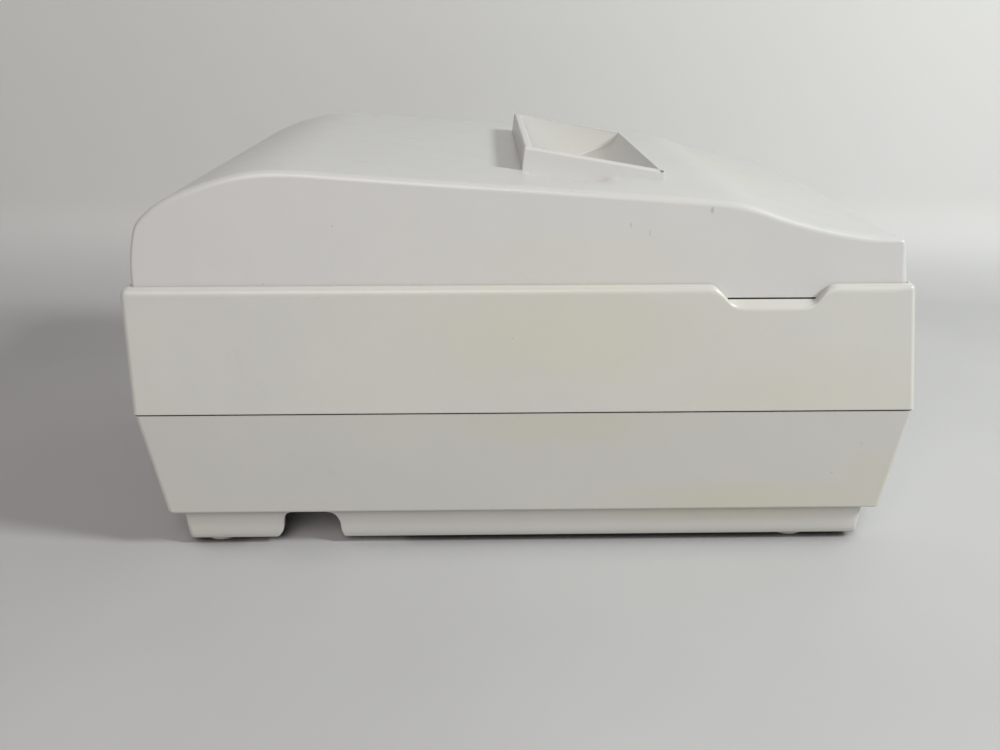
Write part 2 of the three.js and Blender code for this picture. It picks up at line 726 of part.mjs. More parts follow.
// mirrors: [x from the scan line, z, half length, tilt, half width]
const MIRROR_THICKNESS = 1.6;
const MIRRORS = [
  [-4, 119, 6, Math.PI / 4, 109],
  [-20.5, 119.5, 5.5, -Math.PI / 4.2, 90],
  [-19.4, 136, 5, Math.PI / 4.6, 70],
];
MIRRORS.forEach(([x, z, half, tilt, halfY], i) => {
  const section = [
    [-half, 0],
    [half, 0],
    [half, MIRROR_THICKNESS],
    [-half, MIRROR_THICKNESS],
  ];
  const outline = placed(section, [SCAN_LINE_X + x, z], tilt);
  add("mirror_" + (i + 1), prismY(outline, span(0, halfY)), MIRROR_FINISH);
});
add(
  "lens_barrel",
  union(
    cylX([0, 123], 7.5, fromScan([3, 8.5]), 20),
    cylX([0, 123], 6, fromScan([8, 13]), 20),
  ),
  { color: BLACK, roughness: 0.3 },
);
add(
  "sensor_board",
  union(
    box(fromScan([20, 21.6]), span(0, 40), [115, 131.5]),
    box(fromScan([17, 20.5]), span(0, 20), [119, 127]),
  ),
  BOARD_FINISH,
);

// ---------------------------------------------------------------- hinge posts and pins
const Z_POST_LOW = 112;
const POST_ARC_STEPS = 8;
// round-topped post with a wider foot that stays below the guide sleeve
function hingePost(y) {
  const top = Array.from({ length: POST_ARC_STEPS + 1 }, (_, i) =>
    polar([PIVOT_X, PIVOT[1] + 0.4], POST_HALF_X, Math.PI - (Math.PI * i) / POST_ARC_STEPS),
  );
  const outline = [
    [PIVOT_X - POST_HALF_X, Z_POST_LOW],
    ...top,
    [PIVOT_X + POST_HALF_X, Z_POST_LOW],
  ];
  return cut(
    union(
      prismY(outline, span(y, POST_HALF_Y)),
      box(span(PIVOT_X, POST_HALF_X), span(y, 9), [Z_POST_LOW, 116.5]),
    ),
    cylY(PIVOT, PIN_HOLE_R, span(y, 8), 16),
  );
}
for (const side of SIDES) {
  const name = side < 0 ? "near" : "far";
  const y = side * POST_Y;
  add("hinge_post_" + name, hingePost(y), { color: BEIGE_DARK, roughness: 0.5 });
  add("hinge_pin_" + name, cylY(PIVOT, PIN_R - 0.2, span(y, 10.2), 16), {
    color: STEEL,
    roughness: 0.3,
    metalness: 1,
  });
}

// ---------------------------------------------------------------- lid
// side view: up the rear, over the top, down the front
const LID_OUTLINE = [
  [LID_REAR, Z_SKIRT],
  [LID_REAR, 170.5],
  [-208.8, 178.5],
  ...LID_TOP,
  [LID_FRONT, Z_RIM - 0.2],
  [LID_FRONT, Z_SKIRT],
];
// finger scoops beside the chute: [x, depth below the surface at the chute wall]
const SCOOP_DEPTHS = [
  [-0.6, 0.02], [2.5, 1.2], [6.5, 2.6], [10, 3.6], [14, 4.3], [20.9, 5],
  [28, 5.05], [34.1, 4.8], [38, 4.4], [41.5, 3.7], [45.2, 2.1], [48.4, 0.02],
];
// how the scoop runs out sideways: [distance from the middle, share of the depth]
const SCOOP_FADE = [
  [CHUTE_HALF_Y - 0.5, 1], [94, 0.72], [101, 0.45], [110, 0.2], [124, 0.01],
];
// chute: a raised open box whose floor falls towards the rear, [x, z]
const CHUTE_BODY = [
  [-0.2, 189], [-0.2, 206], [-1.5, 211], [-1.3, 215.3], [0.3, 228.6], [80.5, 214.6],
  [80.5, 204.5], [74, 202.6], [57, 197.2], [40, 192.2], [25, 189.2], [8, 188.2],
];
const CHUTE_POCKET = [
  [3.4, 245], [3.4, 228.1], [4.9, 226.9], [6.5, 224.6], [9.4, 208], [10.6, 200],
  [10.9, 198.6], [10.2, 198], [5, 198], [5, 193.8], [8, 191.4], [25, 192.4],
  [40, 195.5], [48, 197.8], [56.4, 200.5], [64.8, 203.6], [69.5, 205.6], [72.8, 207.9],
  [75.3, 210.5], [77.4, 213.4], [78.4, 215.4], [78.8, 245],
];
const Z_CHUTE_DRAFT = 228.4; // height at which the chute walls have their nominal place
const LUG_Y = [6.9, 10.4]; // hinge lug, from the middle of its post
const BOSS_Y = [134, 142.308];

function lidTopZ(x) {
  const next = LID_TOP.findIndex(([stationX]) => x <= stationX);
  const [x0, z0] = LID_TOP[next - 1];
  const [x1, z1] = LID_TOP[next];
  return z0 + ((z1 - z0) * (x - x0)) / (x1 - x0);
}

// block under the lid surface, from `drop` below the scoop floor to `lift` above the surface
function scoop(side, drop, lift) {
  const rings = SCOOP_FADE.map(([y, share]) => {
    const floor = SCOOP_DEPTHS.map(([x, depth]) => [
      x,
      side * y,
      lidTopZ(x) - depth * share - drop,
    ]);
    const roof = SCOOP_DEPTHS.map(([x]) => [x, side * y, lidTopZ(x) + lift]).reverse();
    return [...floor, ...roof];
  });
  return loft(side < 0 ? rings : rings.reverse(), ([x, , z]) => [x, z]);
}

// prism along Y whose sides spread downwards by `slope`
const drafted = (outline, halfY, slope) =>
  prismY(outline, span(0, halfY)).warp((v) => {
    v[1] += Math.sign(v[1]) * (Z_CHUTE_DRAFT - v[2]) * slope;
  });

function lidHollow() {
  const outline = insetOutline(LID_OUTLINE, LID_WALL);
  outline[0][1] = Z_SKIRT - 3;
  outline[outline.length - 1][1] = Z_SKIRT - 3;
  const half = HALF_LID - LID_WALL;
  const section = [
    [-half, Z_SKIRT - 4],
    [half, Z_SKIRT - 4],
    [half, Z_RIM],
    [half - 4.7, Z_RIM + 67.2],
    [-(half - 4.7), Z_RIM + 67.2],
    [-half, Z_RIM],
  ];
  return prismY(outline, [-150, 150]).intersect(prismX(section, [-220, 220]));
}

function lidShell() {
  const outer = prismY(LID_OUTLINE, [-150, 150]).intersect(
    block([
      [Z_SKIRT, LID_REAR, LID_FRONT, HALF_LID, LID_CORNER_R],
      [Z_RIM, LID_REAR, LID_FRONT, HALF_LID, LID_CORNER_R],
      [170.5, LID_REAR, LID_FRONT - 1.5, HALF_LID - 0.52, LID_CORNER_R],
      [187.5, LID_REAR + 2.6, 199.6, HALF_LID - 1.71, LID_CORNER_R],
      [230.2, LID_REAR + 6, 190, HALF_LID - 4.7, LID_CORNER_R],
    ]),
  );
  let lid = outer.subtract(lidHollow());
  // wall material under the scoops, the chute body, then the scoops themselves
  for (const side of SIDES) lid = lid.add(scoop(side, LID_WALL, -1).intersect(outer));
  const chute = drafted(CHUTE_BODY, CHUTE_HALF_Y, 0.06);
  lid = lid.add(chute);
  for (const side of SIDES) lid = lid.subtract(scoop(side, 0, 3).subtract(chute));
  lid = cut(
    lid,
    drafted(CHUTE_POCKET, CHUTE_HALF_Y - CHUTE_WALL, -0.07),
    box([-3, 6.5], span(0, 80), [193.6, 198]), // slot at the rear of the chute floor
  );
  // hinge lugs either side of each post, with the rear wall notched for the post
  for (const side of SIDES) {
    const postY = side * POST_Y;
    for (const lugSide of SIDES) {
      const [low, high] = mirrored(lugSide, LUG_Y);
      const lug = box([LID_REAR + 1, PIVOT_X + 5.4], [postY + low, postY + high], [161, 178]);
      lid = lid.add(lug.subtract(cylY(PIVOT, PIN_HOLE_R, span(postY, 20), 16)));
    }
    lid = lid.subtract(box([-212, PIVOT_X + 4.4], span(postY, LUG_Y[0]), [150, 174.5]));
  }
  // paper exit in the rear wall
  lid = lid.subtract(box([-214, -200], span(0, 86), [164.4, 169]));
  // bosses that hold the liner
  for (const x of [-150, 60, 180])
    for (const side of SIDES)
      lid = lid.add(box(span(x, 4), mirrored(side, BOSS_Y), [161.6, 180]));
  return lid;
}
add("lid_shell", lidShell(), { color: BEIGE, roughness: 0.45 });

// plate with a low lip along each side
add(
  "lid_liner",
  cut(
    union(
      box([-188, 199], span(0, 139.5), [159, 160.8]),
      ...SIDES.map((side) => box([-188, 199], mirrored(side, [137.9, 139.5]), [159, 164])),
    ),
    // openings over the scan roller and its drive
    box([-169, -145], [-96, 97], [158, 162]),
    box([-169, -124], [96, 105], [158, 162]),
    // lips lowered along the run of the bosses
    ...SIDES.map((side) => box([-155, 185], mirrored(side, [137.8, 140]), [161, 165])),
  ),
  { color: BEIGE_DARK, roughness: 0.6 },
);
add("backing_pad", box([-143.5, 170], span(0, 123), [155.3, 158.7]), {
  color: WHITE,
  roughness: 0.9,
});

// ---------------------------------------------------------------- feeder in the lid
const FEED_PINION_ANGLE = Math.PI + (32 * Math.PI) / 180; // seen from the feed shaft
const FEED_PINION = polar(
  FEED.at,
  ((FEED_GEAR.teeth + FEED_GEAR.pinionTeeth) * FEED_GEAR.module) / 2 + FEED_GEAR.backlash,
  FEED_PINION_ANGLE,
);
const FEED_BORE_R = 4.05;
const FEED_PULLEY_R = 5.625;
const SCAN_PULLEY_R = 4.5;
// side cheek of the feeder frame: [x, z]
const CHEEK = [
  [-188, 161.2], [-188, 171], [-165, 176], [-30, 205], [-2, 206], [-2, 172], [-40, 161.2],
];
const guideZ = (x) => 192.6 + x * 0.2186; // sloping paper guide

function feederFrame() {
  const guide = [
    [-2, guideZ(-2)],
    [-2, guideZ(-2) - 1.8],
    [-143, guideZ(-143) - 0.4],
    [-143, guideZ(-143) + 1.4],
  ];
  const exitRamp = [
    [-171, 161.2],
    [-171, 163],
    [-197, 166.4],
    [-197, 164.6],
  ];
  return cut(
    union(
      prismY(CHEEK, [89, 92]),
      prismY(CHEEK, [-92, -89]),
      prismY(guide, span(0, 90)),
      prismY(exitRamp, span(0, 85)),
      // blocks that tie the ramp to the cheeks
      ...SIDES.map((side) => box([-188, -171], mirrored(side, [84, 90]), [161.2, 164.2])),
    ),
    box(span(FEED.at[0], FEED.r + 0.8), span(0, 63), [180, 200]), // roller window
    // shaft holes
    cylY(FEED.at, 4.4, span(0, 95), 16),
    cylY(PINCH.at, 2.4, span(0, 95), 12),
    cylY(SCAN.at, 3.4, span(0, 95), 16),
    cylY(FEED_PINION, 3.2, [88, 93], 12),
  );
}
add("feeder_frame", feederFrame(), { color: GREY, roughness: 0.6 });
add(
  "feed_motor",
  union(cylY(FEED_PINION, 9, [66, 88.6], 20), cylY(FEED_PINION, 1.1, [88, 97.4], 10)),
  { color: STEEL, roughness: 0.35, metalness: 0.9 },
);
add(
  "feed_pinion",
  prismY(
    gearOutline(
      FEED_PINION,
      FEED_GEAR.pinionTeeth,
      FEED_GEAR.module,
      FEED_PINION_ANGLE + Math.PI + Math.PI / FEED_GEAR.pinionTeeth,
    ),
    [93.6, 97.2],
    [circle(FEED_PINION, 1.45, 10)],
  ),
  BRASS_FINISH,
);
add(
  "feed_gear",
  cut(
    union(
      prismY(
        gearOutline(FEED.at, FEED_GEAR.teeth, FEED_GEAR.module, FEED_PINION_ANGLE),
        [93.9, 96.9],
      ),
      cylY(FEED.at, FEED_PULLEY_R, [96.8, 103.2], 24),
      cylY(FEED.at, 7.6, [96.8, 98], 24),
    ),
    cylY(FEED.at, FEED_BORE_R, [93, 104], 16),
  ),
  NYLON_FINISH,
);
add("feed_shaft", cylY(FEED.at, 3.75, [-94, 104.6], 16), {
  color: STEEL,
  roughness: 0.25,
  metalness: 1,
});
add(
  "feed_roller",
  prismY(circle(FEED.at, FEED.r, 28), span(0, 61), [circle(FEED.at, FEED_BORE_R, 16)]),
  RUBBER_FINISH,
);
add(
  "pinch_roller",
  union(cylY(PINCH.at, PINCH.r, span(0, 60), 20), cylY(PINCH.at, 2, span(0, 93), 12)),
  { color: 0x9a9c9e, roughness: 0.5 },
);
add(
  "scan_roller",
  union(
    cylY(SCAN.at, SCAN.r, span(0, 84), 24),
    cylY(SCAN.at, 3, [-94, 99], 16),
    cylY(SCAN.at, SCAN_PULLEY_R, [98, 103.2], 20),
  ),
  { color: WHITE, roughness: 0.6 },
);
const feederBeltRing = (offset) =>
  beltRing({ at: SCAN.at, r: SCAN_PULLEY_R }, { at: FEED.at, r: FEED_PULLEY_R }, offset);
add("feeder_belt", prismY(feederBeltRing(1.4), [98.6, 102.6], [feederBeltRing(GAP)]), RUBBER_FINISH);

export default group;
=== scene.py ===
# Flatbed scanner: visible shells, small parts, finishes, floor, light and camera
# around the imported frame. x runs from the hinge at the rear (-x) to the front (+x),
# y from the near side (-y, towards the camera) to the far side (+y), z up from the soles.
# Geometry is written in millimetres and scaled to metres when a piece is finished.
import bpy
import bmesh
import math
from contextlib import contextmanager
from mathutils import Matrix, Vector


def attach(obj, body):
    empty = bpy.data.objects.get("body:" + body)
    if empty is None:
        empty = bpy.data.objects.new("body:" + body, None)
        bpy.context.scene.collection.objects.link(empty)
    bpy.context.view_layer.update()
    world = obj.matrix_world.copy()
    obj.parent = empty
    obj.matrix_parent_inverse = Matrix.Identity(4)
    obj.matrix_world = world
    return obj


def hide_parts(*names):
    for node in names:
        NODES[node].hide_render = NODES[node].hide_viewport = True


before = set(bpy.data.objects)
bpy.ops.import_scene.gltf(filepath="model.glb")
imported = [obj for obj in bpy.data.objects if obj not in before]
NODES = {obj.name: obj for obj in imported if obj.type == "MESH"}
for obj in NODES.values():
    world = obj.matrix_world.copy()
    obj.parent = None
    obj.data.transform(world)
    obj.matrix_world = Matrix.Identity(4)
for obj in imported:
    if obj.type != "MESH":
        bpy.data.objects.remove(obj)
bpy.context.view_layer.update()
MM = 0.001  # metres

# ------------------------------------------------------------------ shared dimensions
SIDES = (("near", -1), ("far", 1))
HALF_RIM, HALF_LID = 150.0, 145.0
LID_REAR, LID_FRONT = -209.6, 204.7
Z_RIM, Z_DECK, Z_SKIRT = 163.7, 154.8, 156.5
PIVOT_X, PIVOT_Z = -203.6, 169.6
POST_Y = 100.0
ROCKER_X, ROCKER_Z = -206.6, 60
CASE_POSTS = [(-184, -98), (-184, 118), (184, -118), (184, 118)]  # x, y

# Glass panes: x0, x1, half width
PLATEN = (-145, 161, 114)
FEEDER = (-168, -148, 94)
PANE_Z = (152.7, 154.6)
PANE_GAP = 0.3

# Lid top along its length: x, z
LID_TOP = [
    (-206.9, 188), (-205.6, 195.3), (-202.4, 199.3), (-194, 206.2), (-185.6, 210.8),
    (-177.4, 214.2), (-168.2, 217.4), (-158, 220.4), (-147.2, 222.7), (-136.9, 223.8),
    (-126.7, 224), (-116.6, 223.4), (-86, 221.2), (-45.2, 218.3), (-4, 215.6), (37.5, 212.6),
    (79.3, 209.5), (100.4, 207.9), (108.5, 207.1), (113.5, 206.2), (121.8, 203.8),
    (132.7, 200), (143.7, 196.7), (154.7, 193.9), (165.6, 191.6), (176.6, 189.8),
    (187.5, 188.4), (199.9, 187.5)]


# ------------------------------------------------------------------ numbers and outlines
def lerp(a, b, t):
    return a + (b - a) * t


def clamp01(value):
    return max(0.0, min(1.0, value))


def table_at(table, x):
    """Linear lookup in a table of (x, value), held flat beyond its ends."""
    if x <= table[0][0]:
        return table[0][1]
    for (x0, z0), (x1, z1) in zip(table, table[1:]):
        if x <= x1:
            return lerp(z0, z1, (x - x0) / (x1 - x0))
    return table[-1][1]


def smooth_polyline(points, step, sigma):
    """Resample a polyline at equal steps, then smooth it with fixed ends."""
    fine = [Vector(points[0])]
    for a, b in zip(points, points[1:]):
        a, b = Vector(a), Vector(b)
        count = max(1, int(round((b - a).length / step)))
        for i in range(1, count + 1):
            fine.append(a.lerp(b, i / count))
    reach = int(3 * sigma / step) + 1
    weights = [math.exp(-0.5 * (i * step / sigma) ** 2) for i in range(-reach, reach + 1)]
    smoothed = []
    for i in range(len(fine)):
        span = min(reach, i, len(fine) - 1 - i)
        total, weight = Vector((0, 0)), 0.0
        for j in range(-span, span + 1):
            total += fine[i + j] * weights[j + reach]
            weight += weights[j + reach]
        smoothed.append(total / weight)
    return smoothed


def quadratic(start, control, end, steps):
    """Points of a quadratic curve, in any dimension."""
    points = []
    for i in range(steps + 1):
        t = i / steps
        points.append(tuple((1 - t) ** 2 * p + 2 * t * (1 - t) * q + t * t * r
                            for p, q, r in zip(start, control, end)))
    return points


def circle(u, v, radius, steps=32):
    angles = [2 * math.pi * i / steps for i in range(steps)]
    return [(u + radius * math.cos(t), v + radius * math.sin(t)) for t in angles]


def outline(x0, x1, half, radius, steps=8, side_x=(), end_y=()):
    """Rounded rectangle, counter-clockwise from the +x +y corner, with stations on its sides."""
    points = []

    def corner(cx, cy, start):
        for i in range(steps + 1):
            t = start + (math.pi / 2) * i / steps
            points.append((cx + radius * math.cos(t), cy + radius * math.sin(t)))

    corner(x1 - radius, half - radius, 0)
    points.extend((x, half) for x in sorted(side_x, reverse=True))
    corner(x0 + radius, half - radius, math.pi / 2)
    points.extend((x0, y) for y in sorted(end_y, reverse=True))
    corner(x0 + radius, -half + radius, math.pi)
    points.extend((x, -half) for x in sorted(side_x))
    corner(x1 - radius, -half + radius, 1.5 * math.pi)
    points.extend((x1, y) for y in sorted(end_y))
    return points


def ring_at(z, limits, inset, radius, **stations):
    """Horizontal rounded ring; limits are rear x, front x and half width."""
    rear, front, half = limits
    flat = outline(rear + inset, front - inset, half - inset, radius, **stations)
    return [(x, y, z) for x, y in flat]


# ------------------------------------------------------------------ mesh helpers
# A profile drawn in (u, v) stands along its axis at t.
PLACE = {"X": lambda u, v, t: (t, u, v),
         "Y": lambda u, v, t: (u, t, v),
         "Z": lambda u, v, t: (u, v, t)}


@contextmanager
def editing(o):
    bm = bmesh.new()
    bm.from_mesh(o.data)
    yield bm
    bm.to_mesh(o.data)
    bm.free()


def linked(name, mesh):
    o = bpy.data.objects.new(name, mesh)
    bpy.context.scene.collection.objects.link(o)
    return o


def discard(o):
    mesh = o.data
    bpy.data.objects.remove(o)
    bpy.data.meshes.remove(mesh)


def solid(verts, faces):
    mesh = bpy.data.meshes.new("part")
    mesh.from_pydata([tuple(v) for v in verts], [], faces)
    mesh.validate(clean_customdata=False)
    o = linked("part", mesh)
    with editing(o) as bm:
        bmesh.ops.recalc_face_normals(bm, faces=bm.faces)
    return o


def ring_solid(rings):
    """Closed solid through rings of equal length, with flat caps."""
    n = len(rings[0])
    verts = [p for ring in rings for p in ring]
    faces = []
    for i in range(len(rings) - 1):
        for j in range(n):
            k = (j + 1) % n
            faces.append((i * n + j, i * n + k, (i + 1) * n + k, (i + 1) * n + j))
    faces.append(tuple(reversed(range(n))))
    faces.append(tuple(range((len(rings) - 1) * n, len(rings) * n)))
    return solid(verts, faces)


def box(x0, x1, y0, y1, z0, z1):
    verts = [(x, y, z) for z in (z0, z1) for y in (y0, y1) for x in (x0, x1)]
    faces = [(0, 2, 3, 1), (4, 5, 7, 6), (0, 1, 5, 4), (2, 6, 7, 3), (0, 4, 6, 2), (1, 3, 7, 5)]
    return solid(verts, faces)


def boxes(table):
    return [box(*row) for row in table]


def slab(x0, x1, half, z0, z1):
    """Box centred on y = 0."""
    return box(x0, x1, -half, half, z0, z1)


def prism(axis, points, a, b):
    place = PLACE[axis]
    return ring_solid([[place(p[0], p[1], t) for p in points] for t in (a, b)])


def cylinder(axis, u, v, radius, a, b, steps):
    return prism(axis, circle(u, v, radius, steps), a, b)


def apply_modifiers(o):
    bpy.context.view_layer.update()
    graph = bpy.context.evaluated_depsgraph_get()
    mesh = bpy.data.meshes.new_from_object(o.evaluated_get(graph), depsgraph=graph)
    o.modifiers.clear()
    old = o.data
    o.data = mesh
    bpy.data.meshes.remove(old)


def combine(o, tools, operation):
    for tool in tools:
        modifier = o.modifiers.new("b", "BOOLEAN")
        modifier.operation = operation
        modifier.solver = "EXACT"
        modifier.object = tool
        apply_modifiers(o)
        discard(tool)
    return o


def cut(o, *tools):
    return combine(o, tools, "DIFFERENCE")


def join(o, *tools):
    return combine(o, tools, "UNION")


def tidy(o, dist=0.002):
    with editing(o) as bm:
        bmesh.ops.remove_doubles(bm, verts=bm.verts, dist=dist)
        bmesh.ops.dissolve_degenerate(bm, edges=bm.edges, dist=dist)
        bmesh.ops.recalc_face_normals(bm, faces=bm.faces)
    return o


def flatten(bm):
    """Drop the edges that booleans leave inside flat faces."""
    bmesh.ops.dissolve_limit(bm, angle_limit=math.radians(0.05), verts=bm.verts, edges=bm.edges)


def is_sharp(edge, angle):
    return len(edge.link_faces) == 2 and edge.calc_face_angle(0) > math.radians(angle)


def bevel(bm, edges, width, segments, **options):
    bmesh.ops.bevel(bm, geom=edges, offset=width, offset_type="OFFSET", segments=segments,
                    profile=0.5, affect="EDGES", **options)


def bevel_where(o, test, width, segments, angle):
    """Round the sharp edges whose two ends both pass the test."""
    with editing(o) as bm:
        flatten(bm)
        edges = [e for e in bm.edges if is_sharp(e, angle)
                 and test(e.verts[0].co) and test(e.verts[1].co)]
        if edges:
            bevel(bm, edges, width, segments, clamp_overlap=False, miter_outer="ARC")


def softened(o, width=0.3, segments=2, angle=40):
    """Round every sharp edge."""
    with editing(o) as bm:
        flatten(bm)
        edges = [e for e in bm.edges if is_sharp(e, angle)]
        bevel(bm, edges, width, segments, clamp_overlap=True)
    return o


def soft_box(x0, x1, y0, y1, z0, z1, width):
    o = box(x0, x1, y0, y1, z0, z1)
    with editing(o) as bm:
        bevel(bm, list(bm.edges), width, 2, clamp_overlap=True)
    return o


def merged(*objects):
    """Several shells in one mesh."""
    bm = bmesh.new()
    for o in objects:
        bm.from_mesh(o.data)
        discard(o)
    mesh = bpy.data.meshes.new("part")
    bm.to_mesh(mesh)
    bm.free()
    return linked("part", mesh)


def turned(axis, u, v, profile, steps=48):
    """Lathe round an axis through (u, v); profile is a closed run of (radius, place on axis)."""
    place = PLACE[axis]
    m = len(profile)
    verts, faces = [], []
    for i in range(steps):
        t = 2 * math.pi * i / steps
        for r, along in profile:
            verts.append(place(u + r * math.cos(t), v + r * math.sin(t), along))
    for i in range(steps):
        k = (i + 1) % steps
        for j in range(m):
            l = (j + 1) % m
            if profile[j][0] < 1e-6 and profile[l][0] < 1e-6:
                continue
            faces.append((i * m + j, k * m + j, k * m + l, i * m + l))
    return tidy(solid(verts, faces), 0.0005)


def rod(axis, u, v, r, a, b, edge=0.4, bore=0.0, steps=48):
    """Cylinder or tube from a to b, with rounded ends."""
    profile = [
        (max(r - edge, 0.01), a), (r - edge * 0.3, a + edge * 0.12),
        (r - edge * 0.05, a + edge * 0.5), (r, a + edge),
        (r, b - edge), (r - edge * 0.05, b - edge * 0.5),
        (r - edge * 0.3, b - edge * 0.12), (max(r - edge, 0.01), b),
        (bore, b), (bore, a)]
    return turned(axis, u, v, profile, steps)


def ring_prism(axis, outer, inner, a, b):
    """Tube between two outlines with the same number of points."""
    place = PLACE[axis]
    n = len(outer)
    loops = [(outer, a), (outer, b), (inner, b), (inner, a)]
    verts = [place(p[0], p[1], t) for loop, t in loops for p in loop]
    faces = []
    for s in range(4):
        t = (s + 1) % 4
        for j in range(n):
            k = (j + 1) % n
            faces.append((s * n + j, s * n + k, t * n + k, t * n + j))
    return solid(verts, faces)


# Rising flank of a tooth: height above the pitch circle and offset along it, in modules
FLANK = [(-1.25, -0.95), (-1.12, -0.86), (-0.5, -0.68), (0, -0.5 * math.pi / 2 * 0.92),
         (0.5, -0.46), (0.8, -0.34), (0.85, -0.26)]
TOOTH = FLANK + [(height, -offset) for height, offset in reversed(FLANK)]


def gear(axis, u, v, teeth, module, turn, bore, a, b):
    """Spur gear with rounded flanks and a round bore."""
    pitch_radius = teeth * module / 2
    rim = []
    for i in range(teeth):
        t = turn + 2 * math.pi * i / teeth
        for height, offset in TOOTH:
            r = pitch_radius + height * module
            angle = t + offset * module / r
            rim.append((u + r * math.cos(angle), v + r * math.sin(angle)))
    return ring_prism(axis, rim, circle(u, v, bore, teeth * len(TOOTH)), a, b)


BELT_PITCH = 2.03
BELT_INNER = 0.3  # inner face above the pulley radius


def belt(axis, center1, r1, center2, r2, outer_face, a, b):
    """Toothed belt round two pulleys: smooth outside, rounded teeth inside."""
    center1, center2 = Vector(center1), Vector(center2)
    distance = (center2 - center1).length
    base = math.atan2(center2.y - center1.y, center2.x - center1.x)
    wrap = math.acos((r1 - r2) / distance)
    arcs = []  # point, outward normal

    def arc(c, r, t0, t1):
        count = max(6, int(abs(t1 - t0) * r / (BELT_PITCH / 4)))
        for i in range(count + 1):
            t = t0 + (t1 - t0) * i / count
            arcs.append((Vector((c.x + r * math.cos(t), c.y + r * math.sin(t))),
                         Vector((math.cos(t), math.sin(t)))))

    arc(center2, r2, base - wrap, base + wrap)
    arc(center1, r1, base + wrap, base + 2 * math.pi - wrap)
    path = []
    for i, (point, normal) in enumerate(arcs):
        following, next_normal = arcs[(i + 1) % len(arcs)]
        path.append((point, normal))
        gap = (following - point).length
        if gap > BELT_PITCH:
            count = int(gap / (BELT_PITCH / 4))
            for j in range(1, count):
                path.append((point.lerp(following, j / count),
                             normal.lerp(next_normal, j / count).normalized()))
    outer, inner = [], []
    travel = 0.0
    for i, (point, normal) in enumerate(path):
        if i:
            travel += (point - path[i - 1][0]).length
        wave = 0.5 + 0.5 * math.cos(2 * math.pi * travel / BELT_PITCH)
        depth = (outer_face - BELT_INNER) * (0.46 - 0.4 * wave)
        outer.append(point + normal * outer_face)
        inner.append(point + normal * (BELT_INNER + depth))
    return ring_prism(axis, outer, inner, a, b)


PIECES = []


def piece(o, node, body, material, sharp=32, replaces=True):
    """Finish a part in metres with sharp creases kept, and register it with the frame."""
    tidy(o)
    mesh = o.data
    mesh.transform(Matrix.Scale(MM, 4))
    o.name = mesh.name = "vis_" + node
    for polygon in mesh.polygons:
        polygon.use_smooth = True
    mesh.set_sharp_from_angle(angle=math.radians(sharp))
    normals = o.modifiers.new("weighted", "WEIGHTED_NORMAL")
    normals.keep_sharp = True
    normals.weight = 80
    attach(o, body)
    if replaces:
        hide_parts(node)
    PIECES.append((o, material))


# ------------------------------------------------------------------ base tray
# Drafted walls: lowest z, height, then start and spread of rear x, front x and half width
BASE_WALL = (27.5, 64.5, (-210.1, -7.1), (211.8, 5.9), (143.6, 7.3))
PLINTH = (6, 21.5, (-201.8, -1.7), (203.7, 0.8), (137.2, 1.0))
BASE_STATIONS = dict(side_x=list(range(-190, 191, 20)), end_y=list(range(-120, 121, 30)))

# z, inset, corner radius from the lower edge up to the step
PLINTH_RINGS = [(4.6, 0.7, 3.5), (4.75, 0.3, 3.5), (5.2, 0.05, 3.5), (8, 0, 3.5), (20, 0, 3.5),
                (24.4, 0, 3.5), (24.7, -0.1, 3.5), (24.8, -0.4, 3.7)]
STEP_Z, STEP_RADIUS = 24.8, 2.0
# z, inset above the rounded step
WALL_RINGS = [(34, 0), (48, 0), (62, 0), (76, 0), (88, 0), (91.2, 0),
              (91.4, 0.02), (91.58, 0.14), (91.63, 0.35)]
# Lip above the wall: z, (rear x, front x, half width)
LIP_RINGS = [(91.6, (-213.7, 213.9, 147.5)), (96.1, (-213.6, 213.8, 147.5)),
             (96.5, (-213.2, 213.4, 147.1))]
STANDOFFS = [(-50, -104), (150, -104), (-50, 56), (150, 56),
             (-50, 78), (110, 78), (-50, 124), (110, 124)]  # x, y
# Boxes from here on are x0, x1, y0, y1, z0, z1
CABLE_WELL = (-168, -72, -135.4, 36, 6.0, 45)
WELL_HOLLOW = (-165, -75, -134.4, 33, 5, 42)
ROCKER_BEARINGS = [(-211.0, -202.5, 90.6, 93.6, 54, 66), (-211.0, -202.5, 106.4, 109.4, 54, 66)]
ROCKER_OPENING = (-222, -205, 94, 106, 48.4, 71.6)
CONNECTOR_OPENINGS = [(-158, -130, 32, 37, 13, 35), (-122, -84, 32, 37, 16, 28)]
VENT_COUNT, VENT_X, VENT_PITCH, VENT_WIDTH = 8, -60, 9, 4
# Cable notch in the near plinth wall: x, z
NOTCH = [(-152.5, 2.2), (-151.2, 3.0), (-149.0, 4.8), (-146.6, 6.3), (-145.0, 8.6), (-144.0, 12),
         (-143.5, 17.0), (-142.6, 20.3), (-140.6, 21.9), (-137.5, 22.3), (-118.5, 22.3),
         (-114.4, 21.4), (-111.8, 19.0), (-110.3, 15.0), (-110.0, 9.8), (-109.4, 6.8),
         (-107.8, 5.1), (-105.3, 4.0), (-103.8, 3.1), (-102.9, 2.2)]


def base_ring(wall, z, inset, radius):
    low, height, *spans = wall
    t = (z - low) / height
    limits = [start + t * spread for start, spread in spans]
    return ring_at(z, limits, inset, radius, **BASE_STATIONS)


